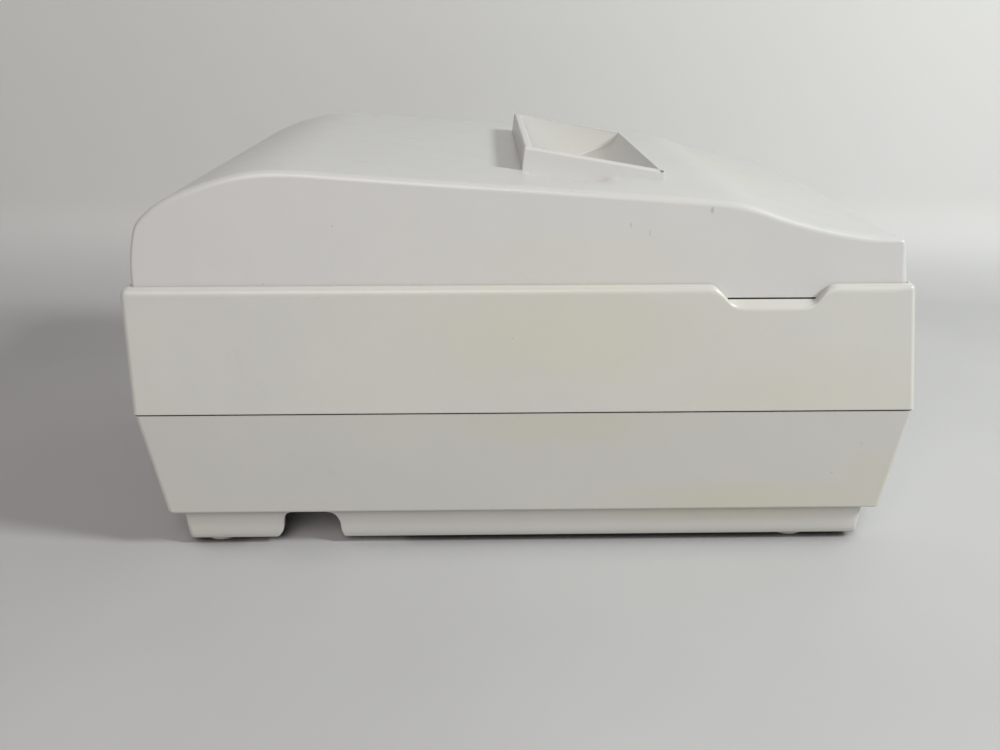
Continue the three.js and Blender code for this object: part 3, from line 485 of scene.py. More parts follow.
def make_base():
    rings = [base_ring(PLINTH, *row) for row in PLINTH_RINGS]
    for i in range(9):
        t = math.pi / 2 * i / 8
        rings.append(base_ring(BASE_WALL, STEP_Z + STEP_RADIUS - STEP_RADIUS * math.cos(t),
                               STEP_RADIUS - STEP_RADIUS * math.sin(t), 3.2))
    rings += [base_ring(BASE_WALL, z, inset, 3.2) for z, inset in WALL_RINGS]
    o = ring_solid(rings)
    cut(o, ring_solid([base_ring(BASE_WALL, z, 3, 2.5) for z in (31, 50, 95)]),
        ring_solid([base_ring(PLINTH, z, 3.2, 1.5) for z in (9, 33)]))
    # the underside lies a little above the plinth's lower edge
    cut(o, ring_solid([base_ring(PLINTH, z, 2.6, 1.5) for z in (3.0, 6.02)]))
    # inner lip that closes the joint to the upper half
    lip = ring_solid([base_ring(BASE_WALL, z, 2.8, 2.6) for z in (84, 91.55)]
                     + [ring_at(z, limits, 0, 2.4, **BASE_STATIONS) for z, limits in LIP_RINGS])
    cut(lip, ring_solid([base_ring(BASE_WALL, 83, 4.9, 2.2),
                         ring_at(98, (-212, 212.2, 146), 0, 2.2, **BASE_STATIONS)]))
    join(o, lip, box(*CABLE_WELL))
    for x, y in CASE_POSTS:
        join(o, cylinder("Z", x, y, 5, 8, 85.7, 24))
    for x, y in STANDOFFS:
        join(o, cylinder("Z", x, y, 3, 8, 19.7, 16))
    join(o, *boxes(ROCKER_BEARINGS))
    cut(o, box(*WELL_HOLLOW), prism("Y", smooth_polyline(NOTCH, 0.8, 0.9), -140, -133))
    for x, y in CASE_POSTS:
        cut(o, cylinder("Z", x, y, 3.8, 5, 9, 24), cylinder("Z", x, y, 1.7, 8.5, 25, 16))
    cut(o, box(*ROCKER_OPENING), cylinder("Y", ROCKER_X, ROCKER_Z, 1.9, 90, 110, 20))
    cut(o, *boxes(CONNECTOR_OPENINGS))
    for i in range(VENT_COUNT):
        x = VENT_X + i * VENT_PITCH
        cut(o, box(x, x + VENT_WIDTH, 140, 156, 48, 74))
    tidy(o)
    # soft edges: cable notch, far-side vents, rocker opening
    bevel_where(o, lambda c: c.y < -136.4 and -153 < c.x < -101 and 6.2 < c.z < 23, 0.7, 3, 35)
    bevel_where(o, lambda c: c.y > 144.5 and -61 < c.x < 8 and 47 < c.z < 75, 0.5, 2, 35)
    bevel_where(o, lambda c: c.x < -209.6 and 93 < c.y < 107 and 48 < c.z < 72, 0.5, 2, 35)
    return o


# ------------------------------------------------------------------ upper frame
UPPER_HEIGHT = 71.2
# Recess across both side rims: x, z
RECESS = smooth_polyline(
    [(60, 163.7), (98.4, 163.7), (101.0, 162.9), (104.0, 160.4), (106.8, 157.3), (109.3, 154.3),
     (112, 152.6), (116.4, 151.8), (120, 151.7), (148.7, 151.7), (151.8, 152.4), (154.3, 154.4),
     (156.9, 158.3), (159.4, 161.6), (161.8, 163.1), (164.4, 163.7), (200, 163.7)], 0.5, 1.1)
UPPER_STATIONS = dict(
    side_x=[-195, -170, -140, -110, -80, -50, -20, 10, 40, 65, 80, 90]
    + [95 + 0.8 * i for i in range(92)] + [171, 178, 186, 194],
    end_y=list(range(-120, 121, 30)))
# z, inset from the joint up to the rim fillet
UPPER_RINGS = [(92.5, 0.35), (92.55, 0.14), (92.75, 0.02), (93.2, 0),
               (98, 0), (108, 0), (120, 0), (132, 0), (142, 0), (148, 0)]
STATUS_OPENING = (206, 222, -116, -104, 118, 122)


def upper_limits(z):
    return (-214.6 - ((Z_RIM - z) / UPPER_HEIGHT) * 3.0,
            207.1 + (Z_RIM - z) * 0.152,
            HALF_RIM + ((Z_RIM - z) / UPPER_HEIGHT) * 1.5)


def upper_ring(z, inset=0):
    return ring_at(z, upper_limits(z), inset, 3.2, **UPPER_STATIONS)


def rim_rings():
    """Rings over the rim and down to the deck, from a cross-section at each station."""
    outer = upper_ring(Z_RIM)
    inner = outline(LID_REAR - 0.4, LID_FRONT + 0.4, HALF_LID + 0.3, 2.6, **UPPER_STATIONS)
    outlines = {}  # nearly equal heights share one outline

    def wall_point(j, z):
        key = round(z, 3)
        if key not in outlines:
            outlines[key] = upper_ring(z)
        x, y, _ = outlines[key][j]
        return Vector((x, y, z))

    sections = []
    for j, ((x, y, _), (inner_x, inner_y)) in enumerate(zip(outer, inner)):
        z_out = z_in = Z_RIM
        if abs(y) > 149:
            z_out = table_at(RECESS, x) if 62 < x < 198 else Z_RIM
            z_in = max(z_out, 155.9)
        # the fillet shrinks at the front, where the rim is thin, and in the recess
        fillet = lerp(4.0, 1.9, clamp01((x - 196) / 10.0))
        fillet = lerp(fillet, 1.6, (Z_RIM - z_out) / 12.0)
        # the rim falls outwards a little
        z_in += 0.7 * max(0.0, 1 - (Z_RIM - z_out) / 2.5)
        start = wall_point(j, z_out - fillet)
        outer_corner = wall_point(j, z_out)
        inner_corner = Vector((inner_x, inner_y, z_in))
        across = inner_corner - outer_corner
        end = outer_corner + across * min(0.80, fillet / across.length)
        section = quadratic(start, outer_corner, end, 7)
        section += quadratic(inner_corner - across.normalized() * 0.5, inner_corner,
                             inner_corner + Vector((0, 0, -1)) * 0.5, 2)
        foot = 0.55 if z_in > Z_DECK + 1.6 else 0.3
        section.append((inner_corner.x, inner_corner.y, Z_DECK + foot))
        deck = Vector((inner_corner.x, inner_corner.y, Z_DECK))
        inward = Vector((across.x, across.y, 0)).normalized()
        section.append(tuple(deck + inward * 0.16 + Vector((0, 0, 0.16))))
        section.append(tuple(deck + inward * 0.55))
        sections.append(section)
    return list(zip(*sections))


def make_upper():
    o = ring_solid([upper_ring(z, inset) for z, inset in UPPER_RINGS] + rim_rings())
    cut(o, ring_solid([ring_at(z, upper_limits(z), 3, 2.5, steps=6) for z in (91, 120, 150.6)]))
    # an opening and a seat for each pane
    for opening, (x0, x1, half) in (((-141, 157, 110), PLATEN), ((-165, -151, 90), FEEDER)):
        cut(o, slab(*opening, 149, 157),
            slab(x0 - PANE_GAP, x1 + PANE_GAP, half + PANE_GAP, 152.4, 157))
    # sleeves for the hinge posts
    for _, side in SIDES:
        y = side * POST_Y
        join(o, box(-213.5, -197.6, y - 9, y + 9, 134, 151.5))
        cut(o, box(-207.2, -200.0, y - 6.6, y + 6.6, 130, 157))
    cut(o, box(*STATUS_OPENING))
    tidy(o)
    # soft edges: glass seats, status window
    bevel_where(o, lambda c: abs(c.z - Z_DECK) < 0.02 and -169 < c.x < 162 and abs(c.y) < 115,
                0.45, 2, 40)
    bevel_where(o, lambda c: c.x > 212.0 and -117 < c.y < -103 and 117 < c.z < 123, 0.4, 2, 40)
    return o


# ------------------------------------------------------------------ lid
# Rear wall below the top: x, z
LID_BACK = [(LID_REAR, Z_SKIRT), (LID_REAR, 168), (-209.35, 174), (-208.7, 180), (-207.8, 185)]
FRONT_CORNER = Vector((200.2, 187.45))  # x, z of the front edge before rounding
# Depth of the scoops beside the chute: x, depth
SCOOP = [(-0.6, 0.0), (1.0, 0.35), (2.5, 1.1), (6.5, 2.6), (10, 3.6), (14, 4.3), (20.9, 5),
         (28, 5.05), (34.1, 4.8), (38, 4.4), (41.5, 3.7), (44.0, 2.7), (46.2, 1.5), (48.0, 0.6),
         (49.6, 0.12), (51, 0.0)]
SCOOP_Y = (87.5, 124)
# Stations across half of the lid, from the edge to the middle
LID_Y = [136, 130, 124, 120, 116, 112, 108, 104.5, 101, 98, 95, 92.5, 90.3, 88.5, 86.5, 60, 30, 0]

# Chute block, its pocket's rear wall and its floor: x, z
CHUTE_BODY = [(-0.2, 192), (-0.2, 206), (-1.5, 211), (-1.3, 215.3), (0.3, 228.63),
              (80.5, 214.6), (80.5, 204.5), (74, 202.6), (57, 197.2), (40, 192.2), (25, 189.2),
              (8, 188.2)]
POCKET_REAR = [(3.4, 228.1), (4.7, 227.3), (5.9, 225.9), (6.6, 224.0), (9.4, 208),
               (10.6, 200), (10.8, 198.4), (10.2, 198.0)]
POCKET_FLOOR = [(5.1, 193.0), (8, 191.7), (25, 192.4), (40, 195.5), (48, 197.8), (56.4, 200.5),
                (64.8, 203.6), (69.5, 205.6), (72.8, 207.9), (75.3, 210.5), (77.2, 213.2),
                (78.2, 215.2)]
FLOOR_RADIUS = 1.6
CHUTE_TOP = 228.4

# Hollows that follow the lid's top: x0, x1, depth below the top, y0, y1
LID_INSIDE = 138.2
HOLLOWS = [(-199.5, -1.2, 3.4, -LID_INSIDE, LID_INSIDE), (-1.7, 85.0, 8.6, -LID_INSIDE, -91.5),
           (-1.7, 85.0, 8.6, 91.5, LID_INSIDE), (84.5, 197.0, 3.4, -LID_INSIDE, LID_INSIDE)]
# Straight hollows: round the skirt, under the chute, and the chute's place
LID_CUTS = [(-207.0, -198, -142.2, 142.2, 150, 186), (-199, 201.6, -142.2, -136, 150, 176),
            (-199, 201.6, 136, 142.2, 150, 176), (190, 201.6, -142.2, 142.2, 150, 176),
            (-5, 90, -95, 95, 150, 186), (2.2, 79.0, -86.8, 86.8, 150, 240)]


def side_y(z):
    return HALF_LID - max(0.0, z - Z_RIM) * 0.07


def scoop_depth(x, y, z):
    near_y, far_y = SCOOP_Y
    if z < 200 or not (-0.6 < x < 51) or y >= far_y or y <= near_y:
        return 0.0
    return table_at(SCOOP, x) * min(1.0, ((far_y - y) / 35.5) ** 2)


def lid_profile():
    """Outer profile (x, z) from the lower rear edge over the top to the lower front edge."""
    top = smooth_polyline(LID_BACK + LID_TOP[:-1], 2.2, 3.2)
    back = (Vector(top[-1]) - FRONT_CORNER).normalized()
    down = (Vector((LID_FRONT, Z_RIM)) - FRONT_CORNER).normalized()
    start, end = FRONT_CORNER + back * 2.3, FRONT_CORNER + down * 2.3
    points = [p for p in top if p.x < start.x - 2]
    points += quadratic(start, FRONT_CORNER, end, 8)
    points += [(LID_FRONT - 0.188 * (z - Z_RIM), z) for z in (184, 178, 172, 166, 163.4)]
    points += [(LID_FRONT, z) for z in (162.6, 159.5, Z_SKIRT)]
    points = [Vector(p) for p in points]
    # denser stations along the scoops
    profile = []
    for a, b in zip(points, points[1:]):
        profile.append(a)
        if a.y > 200 and b.x > -3 and a.x < 54:
            count = max(1, int((b - a).length / 0.9))
            profile.extend(a.lerp(b, i / count) for i in range(1, count))
    profile.append(points[-1])
    return profile


def lid_row(p, inward, arc_steps=8):
    """Points across the lid at one profile station, from the near side to the far side."""
    # the edge is an ellipse: deeper down the side than it is wide, and tighter at both ends
    openness = clamp01(((FRONT_CORNER - p).length - 3.0) / 16.0)
    openness = min(openness, clamp01((p.x + 207.0) / 25.0))
    wide, deep = lerp(2.2, 2.8, openness), lerp(2.0, 3.9, openness)
    low_y, high_y = side_y((p + inward * deep).y), side_y(p.y)
    half = []
    for i in range(arc_steps + 1):
        t = math.pi / 2 * i / arc_steps
        c = p + inward * (deep * (1 - math.sin(t)))
        half.append((c.x, lerp(low_y, high_y, i / arc_steps) - wide + wide * math.cos(t), c.y))
    half += [(p.x, y, p.y - scoop_depth(p.x, y, p.y)) for y in LID_Y]
    return [(x, -y, z) for x, y, z in half] + half[-2::-1]


def lid_block(profile):
    n = len(profile)
    rows = []
    for i, p in enumerate(profile):
        along = (profile[min(i + 1, n - 1)] - profile[max(i - 1, 0)]).normalized()
        rows.append(lid_row(p, Vector((along.y, -along.x))))
    m = len(rows[0])
    faces = []
    for i in range(n - 1):
        for j in range(m - 1):
            faces.append((i * m + j, i * m + j + 1, (i + 1) * m + j + 1, (i + 1) * m + j))
    # near side, far side and bottom
    faces.append(tuple(i * m for i in range(n)))
    faces.append(tuple(reversed([i * m + m - 1 for i in range(n)])))
    faces.append(tuple(range(m)) + tuple(reversed(range((n - 1) * m, n * m))))
    return solid([v for row in rows for v in row], faces)


def chute_pocket():
    """Cutter for the chute; its floor rises into the side walls in a radius."""
    rear = smooth_polyline(POCKET_REAR, 0.5, 0.6)
    floor = smooth_polyline(POCKET_FLOOR, 1.0, 1.6)
    profile = [(3.3, 250)] + rear + [(5.0, 198.0)] + floor + [(79.2, 218), (86, 250)]
    first = len(rear) + 2
    last = len(rear) + len(floor) + 1
    insets = [0.0, 0.2, 0.5, 0.95, 1.6]
    rings = []
    for side, side_insets in ((-1, insets), (1, insets[::-1])):
        for inset in side_insets:
            lift = FLOOR_RADIUS - math.sqrt(
                max(0.0, FLOOR_RADIUS * FLOOR_RADIUS - (FLOOR_RADIUS - inset) ** 2))
            ring = []
            for k, (x, z) in enumerate(profile):
                if first <= k <= last:
                    z = z + lift * min(1.0, max(0.0, (x - 6) / 8))
                ring.append((x, side * (84.5 - (CHUTE_TOP - z) * 0.07 - inset), z))
            rings.append(ring)
    return ring_solid(rings)


def on_chute_rim(c):
    return abs(c.z - (CHUTE_TOP - (c.x - 1.6) * 0.17490)) < 0.06


def at_chute_end(c):
    return (c.x < 3 or c.x > 79.9) and abs(c.y) > 87.9


def chute_edge_weight(a, b):
    """Share of the bevel width for an edge of the chute, or None to leave it sharp."""
    across = abs(a.x - b.x) < 3
    upright = at_chute_end(a) and at_chute_end(b) and across and min(a.z, b.z) > 203
    if not (on_chute_rim(a) and on_chute_rim(b) or upright):
        return None
    if abs(a.z - b.z) > 4 and across:
        return 0.55  # upright corners
    if a.x > 70 and b.x > 70 and across:
        return 0.4  # the thin front lip
    if across and a.x > 2:
        return 0.3  # inside of the rear rim, already shaped
    return 1.0


def make_chute():
    o = prism("Y", CHUTE_BODY, -88.5, 88.5)
    for v in o.data.vertices:
        v.co.y += math.copysign((CHUTE_TOP - v.co.z) * 0.06, v.co.y)
    cut(o, chute_pocket())
    tidy(o)
    with editing(o) as bm:
        flatten(bm)
        weights = bm.edges.layers.float.new("bevel_weight_edge")
        for e in bm.edges:
            weight = chute_edge_weight(e.verts[0].co, e.verts[1].co)
            if weight is not None and is_sharp(e, 25):
                e[weights] = weight
    rounding = o.modifiers.new("b", "BEVEL")
    rounding.limit_method = "WEIGHT"
    rounding.width = 1.5
    rounding.segments = 5
    rounding.use_clamp_overlap = False
    rounding.offset_type = "OFFSET"
    apply_modifiers(o)
    return o


def make_lid():
    profile = lid_profile()
    o = lid_block(profile)
    chute = make_chute()
    for x0, x1, drop, y0, y1 in HOLLOWS:
        xs = [x0] + [p.x for p in profile if x0 < p.x < x1 and p.y > 180] + [x1]
        xs = sorted(set(round(x, 3) for x in xs))
        roof = [(x, table_at(LID_TOP, x) - drop) for x in xs]
        cut(o, prism("Y", [(xs[0], 150)] + roof + [(xs[-1], 150)], y0, y1))
    cut(o, *boxes(LID_CUTS))
    join(o, chute)
    cut(o, slab(-3, 6.5, 80, 193.6, 198))
    # hinge ears, their clearance and the pin holes
    for _, side in SIDES:
        y = side * POST_Y
        for a, b in ((6.9, 10.4), (-10.4, -6.9)):
            join(o, box(-208.6, -198.2, y + a, y + b, 161, 178))
        cut(o, box(-212, -199.2, y - 6.9, y + 6.9, 150, 174.5),
            cylinder("Y", PIVOT_X, PIVOT_Z, 2.15, y - 20, y + 20, 24))
    cut(o, slab(-214, -200, 86, 164.4, 169))
    tidy(o)
    bevel_where(o, lambda c: c.x < -208.9 and c.z < 176, 0.5, 2, 40)
    return o


piece(make_base(), "base_tray", "root", "housing_base")
piece(make_upper(), "upper_frame", "root", "housing_upper")
piece(make_lid(), "lid_shell", "lid", "lid")

# ------------------------------------------------------------------ feet and case screws
# Pad with a dished sole: radius, z
FOOT = [(0, 0.7), (7.8, 0.7), (8.6, 0.5), (9.2, 0.12), (9.8, 0.0), (10.9, 0.02), (11.7, 0.28),
        (12.3, 0.9), (12.55, 1.7), (12.6, 2.4), (12.58, 4.6), (12.4, 5.2), (12.0, 5.55),
        (11.4, 5.7), (0, 5.7)]
# Pan head facing down, with its shank: radius, z
CASE_SCREW = [(0, 6.65), (1.6, 6.68), (2.5, 6.9), (3.1, 7.35), (3.3, 7.9), (3.3, 8.6),
              (1.35, 8.6), (1.35, 21.4), (0.7, 22.0), (0, 22.0)]
SLOT_CORNERS = [(-1.9, -0.42), (1.9, -0.42), (1.9, 0.42), (-1.9, 0.42)]

for end, x in (("rear", -184.5), ("front", 164)):
    for name, side in SIDES:
        piece(turned("Z", x, side * 120.5, FOOT, 64), "foot_%s_%s" % (end, name), "root", "feet")


def make_case_screw(x, y, turn):
    o = turned("Z", x, y, CASE_SCREW, 40)
    for t in (turn, turn + math.pi / 2):
        c, s = math.cos(t), math.sin(t)
        cut(o, prism("Z", [(x + u * c - v * s, y + u * s + v * c) for u, v in SLOT_CORNERS],
                     6.0, 7.9))
    return o


for i, (x, y) in enumerate(CASE_POSTS):
    piece(make_case_screw(x, y, math.radians(20 + 37 * i)), "case_screw_%d" % (i + 1),
          "root", "steel", sharp=28)

# ------------------------------------------------------------------ glass, strip, pad and liner
for name, (x0, x1, half) in (("platen_glass", PLATEN), ("feeder_glass", FEEDER)):
    piece(soft_box(x0, x1, -half, half, *PANE_Z, 0.35), name, "root", "glass")
piece(soft_box(-149.5, -142.5, -108, 108, 149.6, 150.3, 0.15),
      "calibration_strip", "root", "white_pad")

PAD_LIMITS = (-143.5, 170.0, 123.0)
# inset, z from the upper face round the edge to the lower face
PAD_EDGE = [(0.9, 158.7), (0.1, 158.5), (0.0, 158.0), (0.15, 157.2), (0.05, 156.6), (0.0, 156.1),
            (0.3, 155.6), (1.0, 155.35), (2.4, 155.3)]


def make_pad():
    """Sheet with rounded corners and a slightly wavy edge."""
    rings = []
    for inset, z in PAD_EDGE:
        ring = ring_at(z, PAD_LIMITS, inset, 5 - min(inset, 2), steps=6,
                       side_x=range(-130, 161, 10), end_y=range(-110, 111, 10))
        wave = 0.10 if 155.5 < z < 158 else 0
        rings.append([(x, y, z + wave * math.sin(x * 0.11) * math.cos(y * 0.09))
                      for x, y, _ in ring])
    return ring_solid(rings)


piece(make_pad(), "backing_pad", "lid", "white_pad")

LINER_SCREWS = [(x, side * 134.6) for _, side in SIDES for x in (-150, 60, 180)]  # x, y


def make_liner():
    o = slab(-188, 199, 139.5, 159, 160.8)
    join(o, box(-188, 199, -139.5, -137.9, 160, 164), box(-188, 199, 137.9, 139.5, 160, 164))
    # clearance for the feeder glass, and a slot beyond it
    cut(o, box(-169, -145, -96, 97, 158, 162), box(-169, -124, 96, 105, 158, 162))
    for _, side in SIDES:
        y0, y1 = sorted((side * 137.8, side * 140))
        cut(o, box(-155, 65, y0, y1, 161, 165), box(55, 185, y0, y1, 161, 165))
        # shallow panel line outside the pad, then countersinks
        cut(o, box(-176, 190, side * 130.6 - 0.5, side * 130.6 + 0.5, 158, 159.4))
        for x, y in LINER_SCREWS:
            if y * side > 0:
                cut(o, turned("Z", x, y, [(0, 158), (3.2, 158), (3.0, 159.5), (0, 159.9)], 32))
    return softened(tidy(o))


def make_liner_screw(x, y):
    o = turned("Z", x, y,
               [(0, 159.15), (2.2, 159.2), (2.75, 159.45), (2.8, 159.75), (0, 159.8)], 32)
    return cut(o, box(x - 1.5, x + 1.5, y - 0.3, y + 0.3, 158, 159.55),
               box(x - 0.3, x + 0.3, y - 1.5, y + 1.5, 158, 159.55))


piece(make_liner(), "lid_liner", "lid", "inner_plastic")
piece(merged(*[make_liner_screw(x, y) for x, y in LINER_SCREWS]), "liner_screws", "lid", "steel",
      sharp=28, replaces=False)

# ------------------------------------------------------------------ power rocker
ROCKER_TILT = math.radians(-8)
# Side outline about the pivot: x, z
ROCKER = [(-5.5, -9.5), (-5.05, -6), (-4.7, -3), (-4.55, 0), (-4.7, 3), (-5.05, 6), (-5.5, 9.5),
          (-5.0, 9.6), (0, 8.4), (4, 2.5), (4, -2.5), (0, -8.4), (-5.0, -9.6)]


def tilted(x, z):
    c, s = math.cos(ROCKER_TILT), math.sin(ROCKER_TILT)
    return ROCKER_X + x * c - z * s, ROCKER_Z + x * s + z * c


def make_rocker():
    """Dished face, pivot pin and three ribs near the upper end."""
    body = softened(prism("Y", [tilted(x, z) for x, z in ROCKER], 94.5, 105.5), 0.45, 3, 30)
    ribs = []
    for height in (4.6, 5.9, 7.2):
        x, z = tilted(-5.35, height)
        ribs.append(rod("Y", x + 0.35, z, 0.42, 96.4, 103.6, edge=0.2, steps=16))
    pin = rod("Y", ROCKER_X, ROCKER_Z, 1.5, 91.4, 108.6, edge=0.2, steps=24)
    return merged(body, pin, *ribs)


piece(make_rocker(), "power_rocker", "power_rocker", "black_gloss")

# ------------------------------------------------------------------ sockets in the cable well
INLET_FACE = [(-154.6, 16.4), (-133.4, 16.4), (-133.4, 27.4), (-137.2, 31.6), (-150.8, 31.6),
              (-154.6, 27.4)]  # x, z
INLET_BLADES = [(-149.6, 22.0), (-138.4, 22.0), (-144.0, 27.2)]  # x, z
PORT_Z = 22
PIN_PITCH = 2.25
PIN_ROWS = [(13, -116.5, 23.4), (12, -115.4, 20.6)]  # pins, first x, z


def make_inlet():
    o = box(-163, -125, 29, 32.7, 10, 38)
    join(o, box(-157.6, -130.4, 30, 58, 13.4, 34.6))
    cut(o, prism("Y", INLET_FACE, 28, 48))
    for x in (-160.3, -127.7):
        cut(o, turned("Y", x, 24, [(0, 28), (1.9, 28), (1.7, 29.2), (1.2, 29.9), (1.2, 34),
                                   (0, 34)], 24))
    return softened(tidy(o), 0.35)


def port_outline(wall):
    return [(-121.0 + wall, 27.0 - wall), (-85.0 - wall, 27.0 - wall),
            (-86.6 - wall * 0.8, 17.0 + wall), (-119.4 + wall * 0.8, 17.0 + wall)]


def make_port():
    flange = box(-123.4, -79, 31, 32.7, 12, 32)
    cut(flange, box(-119.6, -86.4, 28, 38, 18.4, 25.6))
    o = prism("Y", port_outline(0), 30, 46)
    cut(o, prism("Y", port_outline(0.7), 28, 44.5))
    join(o, flange)
    for x in (-121.6, -82.0):
        join(o, rod("Y", x, PORT_Z, 1.7, 29.2, 33, edge=0.3, steps=6))
    return softened(tidy(o))


piece(make_inlet(), "mains_inlet", "root", "black_gloss")
piece(merged(*[soft_box(x - 1.0, x + 1.0, 33, 48.2, z - 2.1, z + 2.1, 0.35)
               for x, z in INLET_BLADES]), "inlet_blades", "root", "steel", replaces=False)
piece(make_port(), "data_port", "root", "zinc_sheet")
piece(soft_box(-119.0, -87.0, 36, 45, 18.2, 25.8, 0.3), "port_insert", "root", "black_plastic",
      replaces=False)
piece(merged(*[rod("Y", x + PIN_PITCH * i, z, 0.5, 32.5, 37, edge=0.25, steps=12)
               for count, x, z in PIN_ROWS for i in range(count)]),
      "port_pins", "root", "brass", replaces=False)
piece(softened(box(209.6, 213.2, -115.6, -104.4, 118.4, 121.6), 0.5, 3),
      "status_lens", "root", "lens_green")


# ------------------------------------------------------------------ hinges
def make_hinge_post(y):
    angles = [math.pi - math.pi * i / 24 for i in range(25)]
    head = [(PIVOT_X + 3 * math.cos(t), PIVOT_Z + 0.4 + 3 * math.sin(t)) for t in angles]
    o = prism("Y", [(PIVOT_X - 3, 112)] + head + [(PIVOT_X + 3, 112)], y - 6, y + 6)
    join(o, box(PIVOT_X - 3, PIVOT_X + 3, y - 9, y + 9, 112, 116.5))
    cut(o, cylinder("Y", PIVOT_X, PIVOT_Z, 2.1, y - 8, y + 8, 40))
    cut(o, box(PIVOT_X + 1.6, PIVOT_X + 4, y - 3.2, y + 3.2, 120, 160))
    return softened(tidy(o), 0.35)


for name, side in SIDES:
    y = side * POST_Y
    piece(rod("Y", PIVOT_X, PIVOT_Z, 1.8, y - 10.2, y + 10.2, steps=40),
          "hinge_pin_" + name, "hinge_posts", "steel")
    piece(make_hinge_post(y), "hinge_post_" + name, "hinge_posts", "inner_plastic")

# ------------------------------------------------------------------ carriage drive
GUIDE_ROD = (-118, 104)  # y, z
MOTOR = (-176, -63.85)  # x, y of the next three axes
REDUCTION = (-176, -90)
IDLER = (186, -90)
PULLEY_RADIUS, PULLEY_BORE = 6, 2.55


def pulley_parts(center, hub_low, lower_flange_low):
    """Hub and its two flanges."""
    bore = dict(bore=PULLEY_BORE)
    return (rod("Z", *center, PULLEY_RADIUS, hub_low, 103.4,
                edge=0.1 if center == REDUCTION else 0.2, **bore),
            rod("Z", *center, 8, lower_flange_low, 96.6, **bore),
            rod("Z", *center, 8, 103.3, 104.3, **bore))


piece(rod("X", *GUIDE_ROD, 4, -193, 191, edge=0.6), "guide_rod", "root", "polished_rod")
piece(merged(rod("Z", *MOTOR, 17.5, 62, 84.2, edge=1.2, steps=64),
             soft_box(MOTOR[0] - 25, MOTOR[0] + 25, MOTOR[1] - 8, MOTOR[1] + 8, 84, 85.7, 0.3),
             rod("Z", *MOTOR, 1.2, 85, 95.5, edge=0.3, steps=24),
             rod("Z", *MOTOR, 4.2, 83.9, 86.6, steps=40)), "stepper_motor", "root", "motor_can")
piece(merged(belt("Z", REDUCTION, PULLEY_RADIUS, IDLER, PULLEY_RADIUS, 1.5, 97.2, 102.8)),
      "drive_belt", "root", "belt_rubber")
piece(gear("Z", *MOTOR, 12, 1, -math.pi / 2 + math.pi / 12, 1.55, 90.6, 95.2),
      "motor_pinion", "motor_pinion", "brass", sharp=40)
piece(merged(gear("Z", *REDUCTION, 40, 1, math.pi / 2, PULLEY_BORE, 90.9, 94.9),
             *pulley_parts(REDUCTION, 94.8, 94.8)),
      "reduction_pulley", "reduction_pulley", "nylon", sharp=40)
piece(merged(*pulley_parts(IDLER, 92, 95.6)), "idler_pulley", "idler_pulley", "nylon")

# ------------------------------------------------------------------ feeder drive
FEED = (-14, 181.5)  # x, z of each axis
PINCH = (FEED[0], 197.9)
SCAN = (-157, 163.6)
FEED_MODULE, FEED_TEETH, FEED_PINION_TEETH = 0.8, 36, 12
MESH_ANGLE = math.pi + math.radians(32)
MESH_DISTANCE = (FEED_TEETH + FEED_PINION_TEETH) * FEED_MODULE / 2 + 0.12
PINION = (FEED[0] + MESH_DISTANCE * math.cos(MESH_ANGLE),
          FEED[1] + MESH_DISTANCE * math.sin(MESH_ANGLE))
FEED_PULLEY_RADIUS, SCAN_PULLEY_RADIUS, FEED_BORE = 5.625, 4.5, 4.05

piece(rod("Y", *FEED, 3.75, -94, 104.6, edge=0.5), "feed_shaft", "feed_drive", "polished_rod")
piece(rod("Y", *FEED, 10, -61, 61, edge=0.8, bore=FEED_BORE, steps=64),
      "feed_roller", "feed_drive", "roller_rubber")
piece(merged(gear("Y", *FEED, FEED_TEETH, FEED_MODULE, MESH_ANGLE, FEED_BORE, 93.9, 96.9),
             rod("Y", *FEED, FEED_PULLEY_RADIUS, 96.8, 103.2, edge=0.1, bore=FEED_BORE),
             rod("Y", *FEED, 7.6, 96.8, 98, bore=FEED_BORE)),
      "feed_gear", "feed_drive", "nylon", sharp=40)
piece(gear("Y", *PINION, FEED_PINION_TEETH, FEED_MODULE,
           MESH_ANGLE + math.pi + math.pi / FEED_PINION_TEETH, 1.45, 93.6, 97.2),
      "feed_pinion", "feed_pinion", "brass", sharp=40)
piece(merged(rod("Y", *PINION, 9, 66, 88.6, edge=1.0, steps=56),
             rod("Y", *PINION, 1.1, 88, 97.4, edge=0.3, steps=24)),
      "feed_motor", "lid", "motor_can")
piece(merged(rod("Y", *PINCH, 6, -60, 60, edge=0.8, steps=56),
             rod("Y", *PINCH, 2, -93, 93, steps=32)),
      "pinch_roller", "pinch_roller", "roller_grey")
piece(merged(rod("Y", *SCAN, 8, -84, 84, edge=0.8, steps=64),
             rod("Y", *SCAN, 3, -94, 99, steps=32),
             rod("Y", *SCAN, SCAN_PULLEY_RADIUS, 98, 103.2, edge=0.3, steps=40)),
      "scan_roller", "scan_roller", "roller_white")
piece(belt("Y", SCAN, SCAN_PULLEY_RADIUS, FEED, FEED_PULLEY_RADIUS, 1.4, 98.6, 102.6),
      "feeder_belt", "lid", "belt_rubber")

# ------------------------------------------------------------------ carriage parts
piece(merged(rod("X", 0, 123, 7.5, -154, -148.5, edge=0.6),
             rod("X", 0, 123, 6, -149, -144, edge=0.5, bore=3.6)),
      "lens_barrel", "carriage", "black_gloss")
piece(rod("Y", -142, 140, 3.5, -108, 108, edge=1.2, steps=32),
      "scan_lamp", "carriage", "lamp_glass")
piece(rod("X", *GUIDE_ROD, 6, -180, -134, bore=4.3), "rod_bush", "carriage", "brass")

# ------------------------------------------------------------------ circuit boards
BOARD_Z = 20
BOARD_TOP = BOARD_Z + 1.6
LEAD_PITCH = 2.54

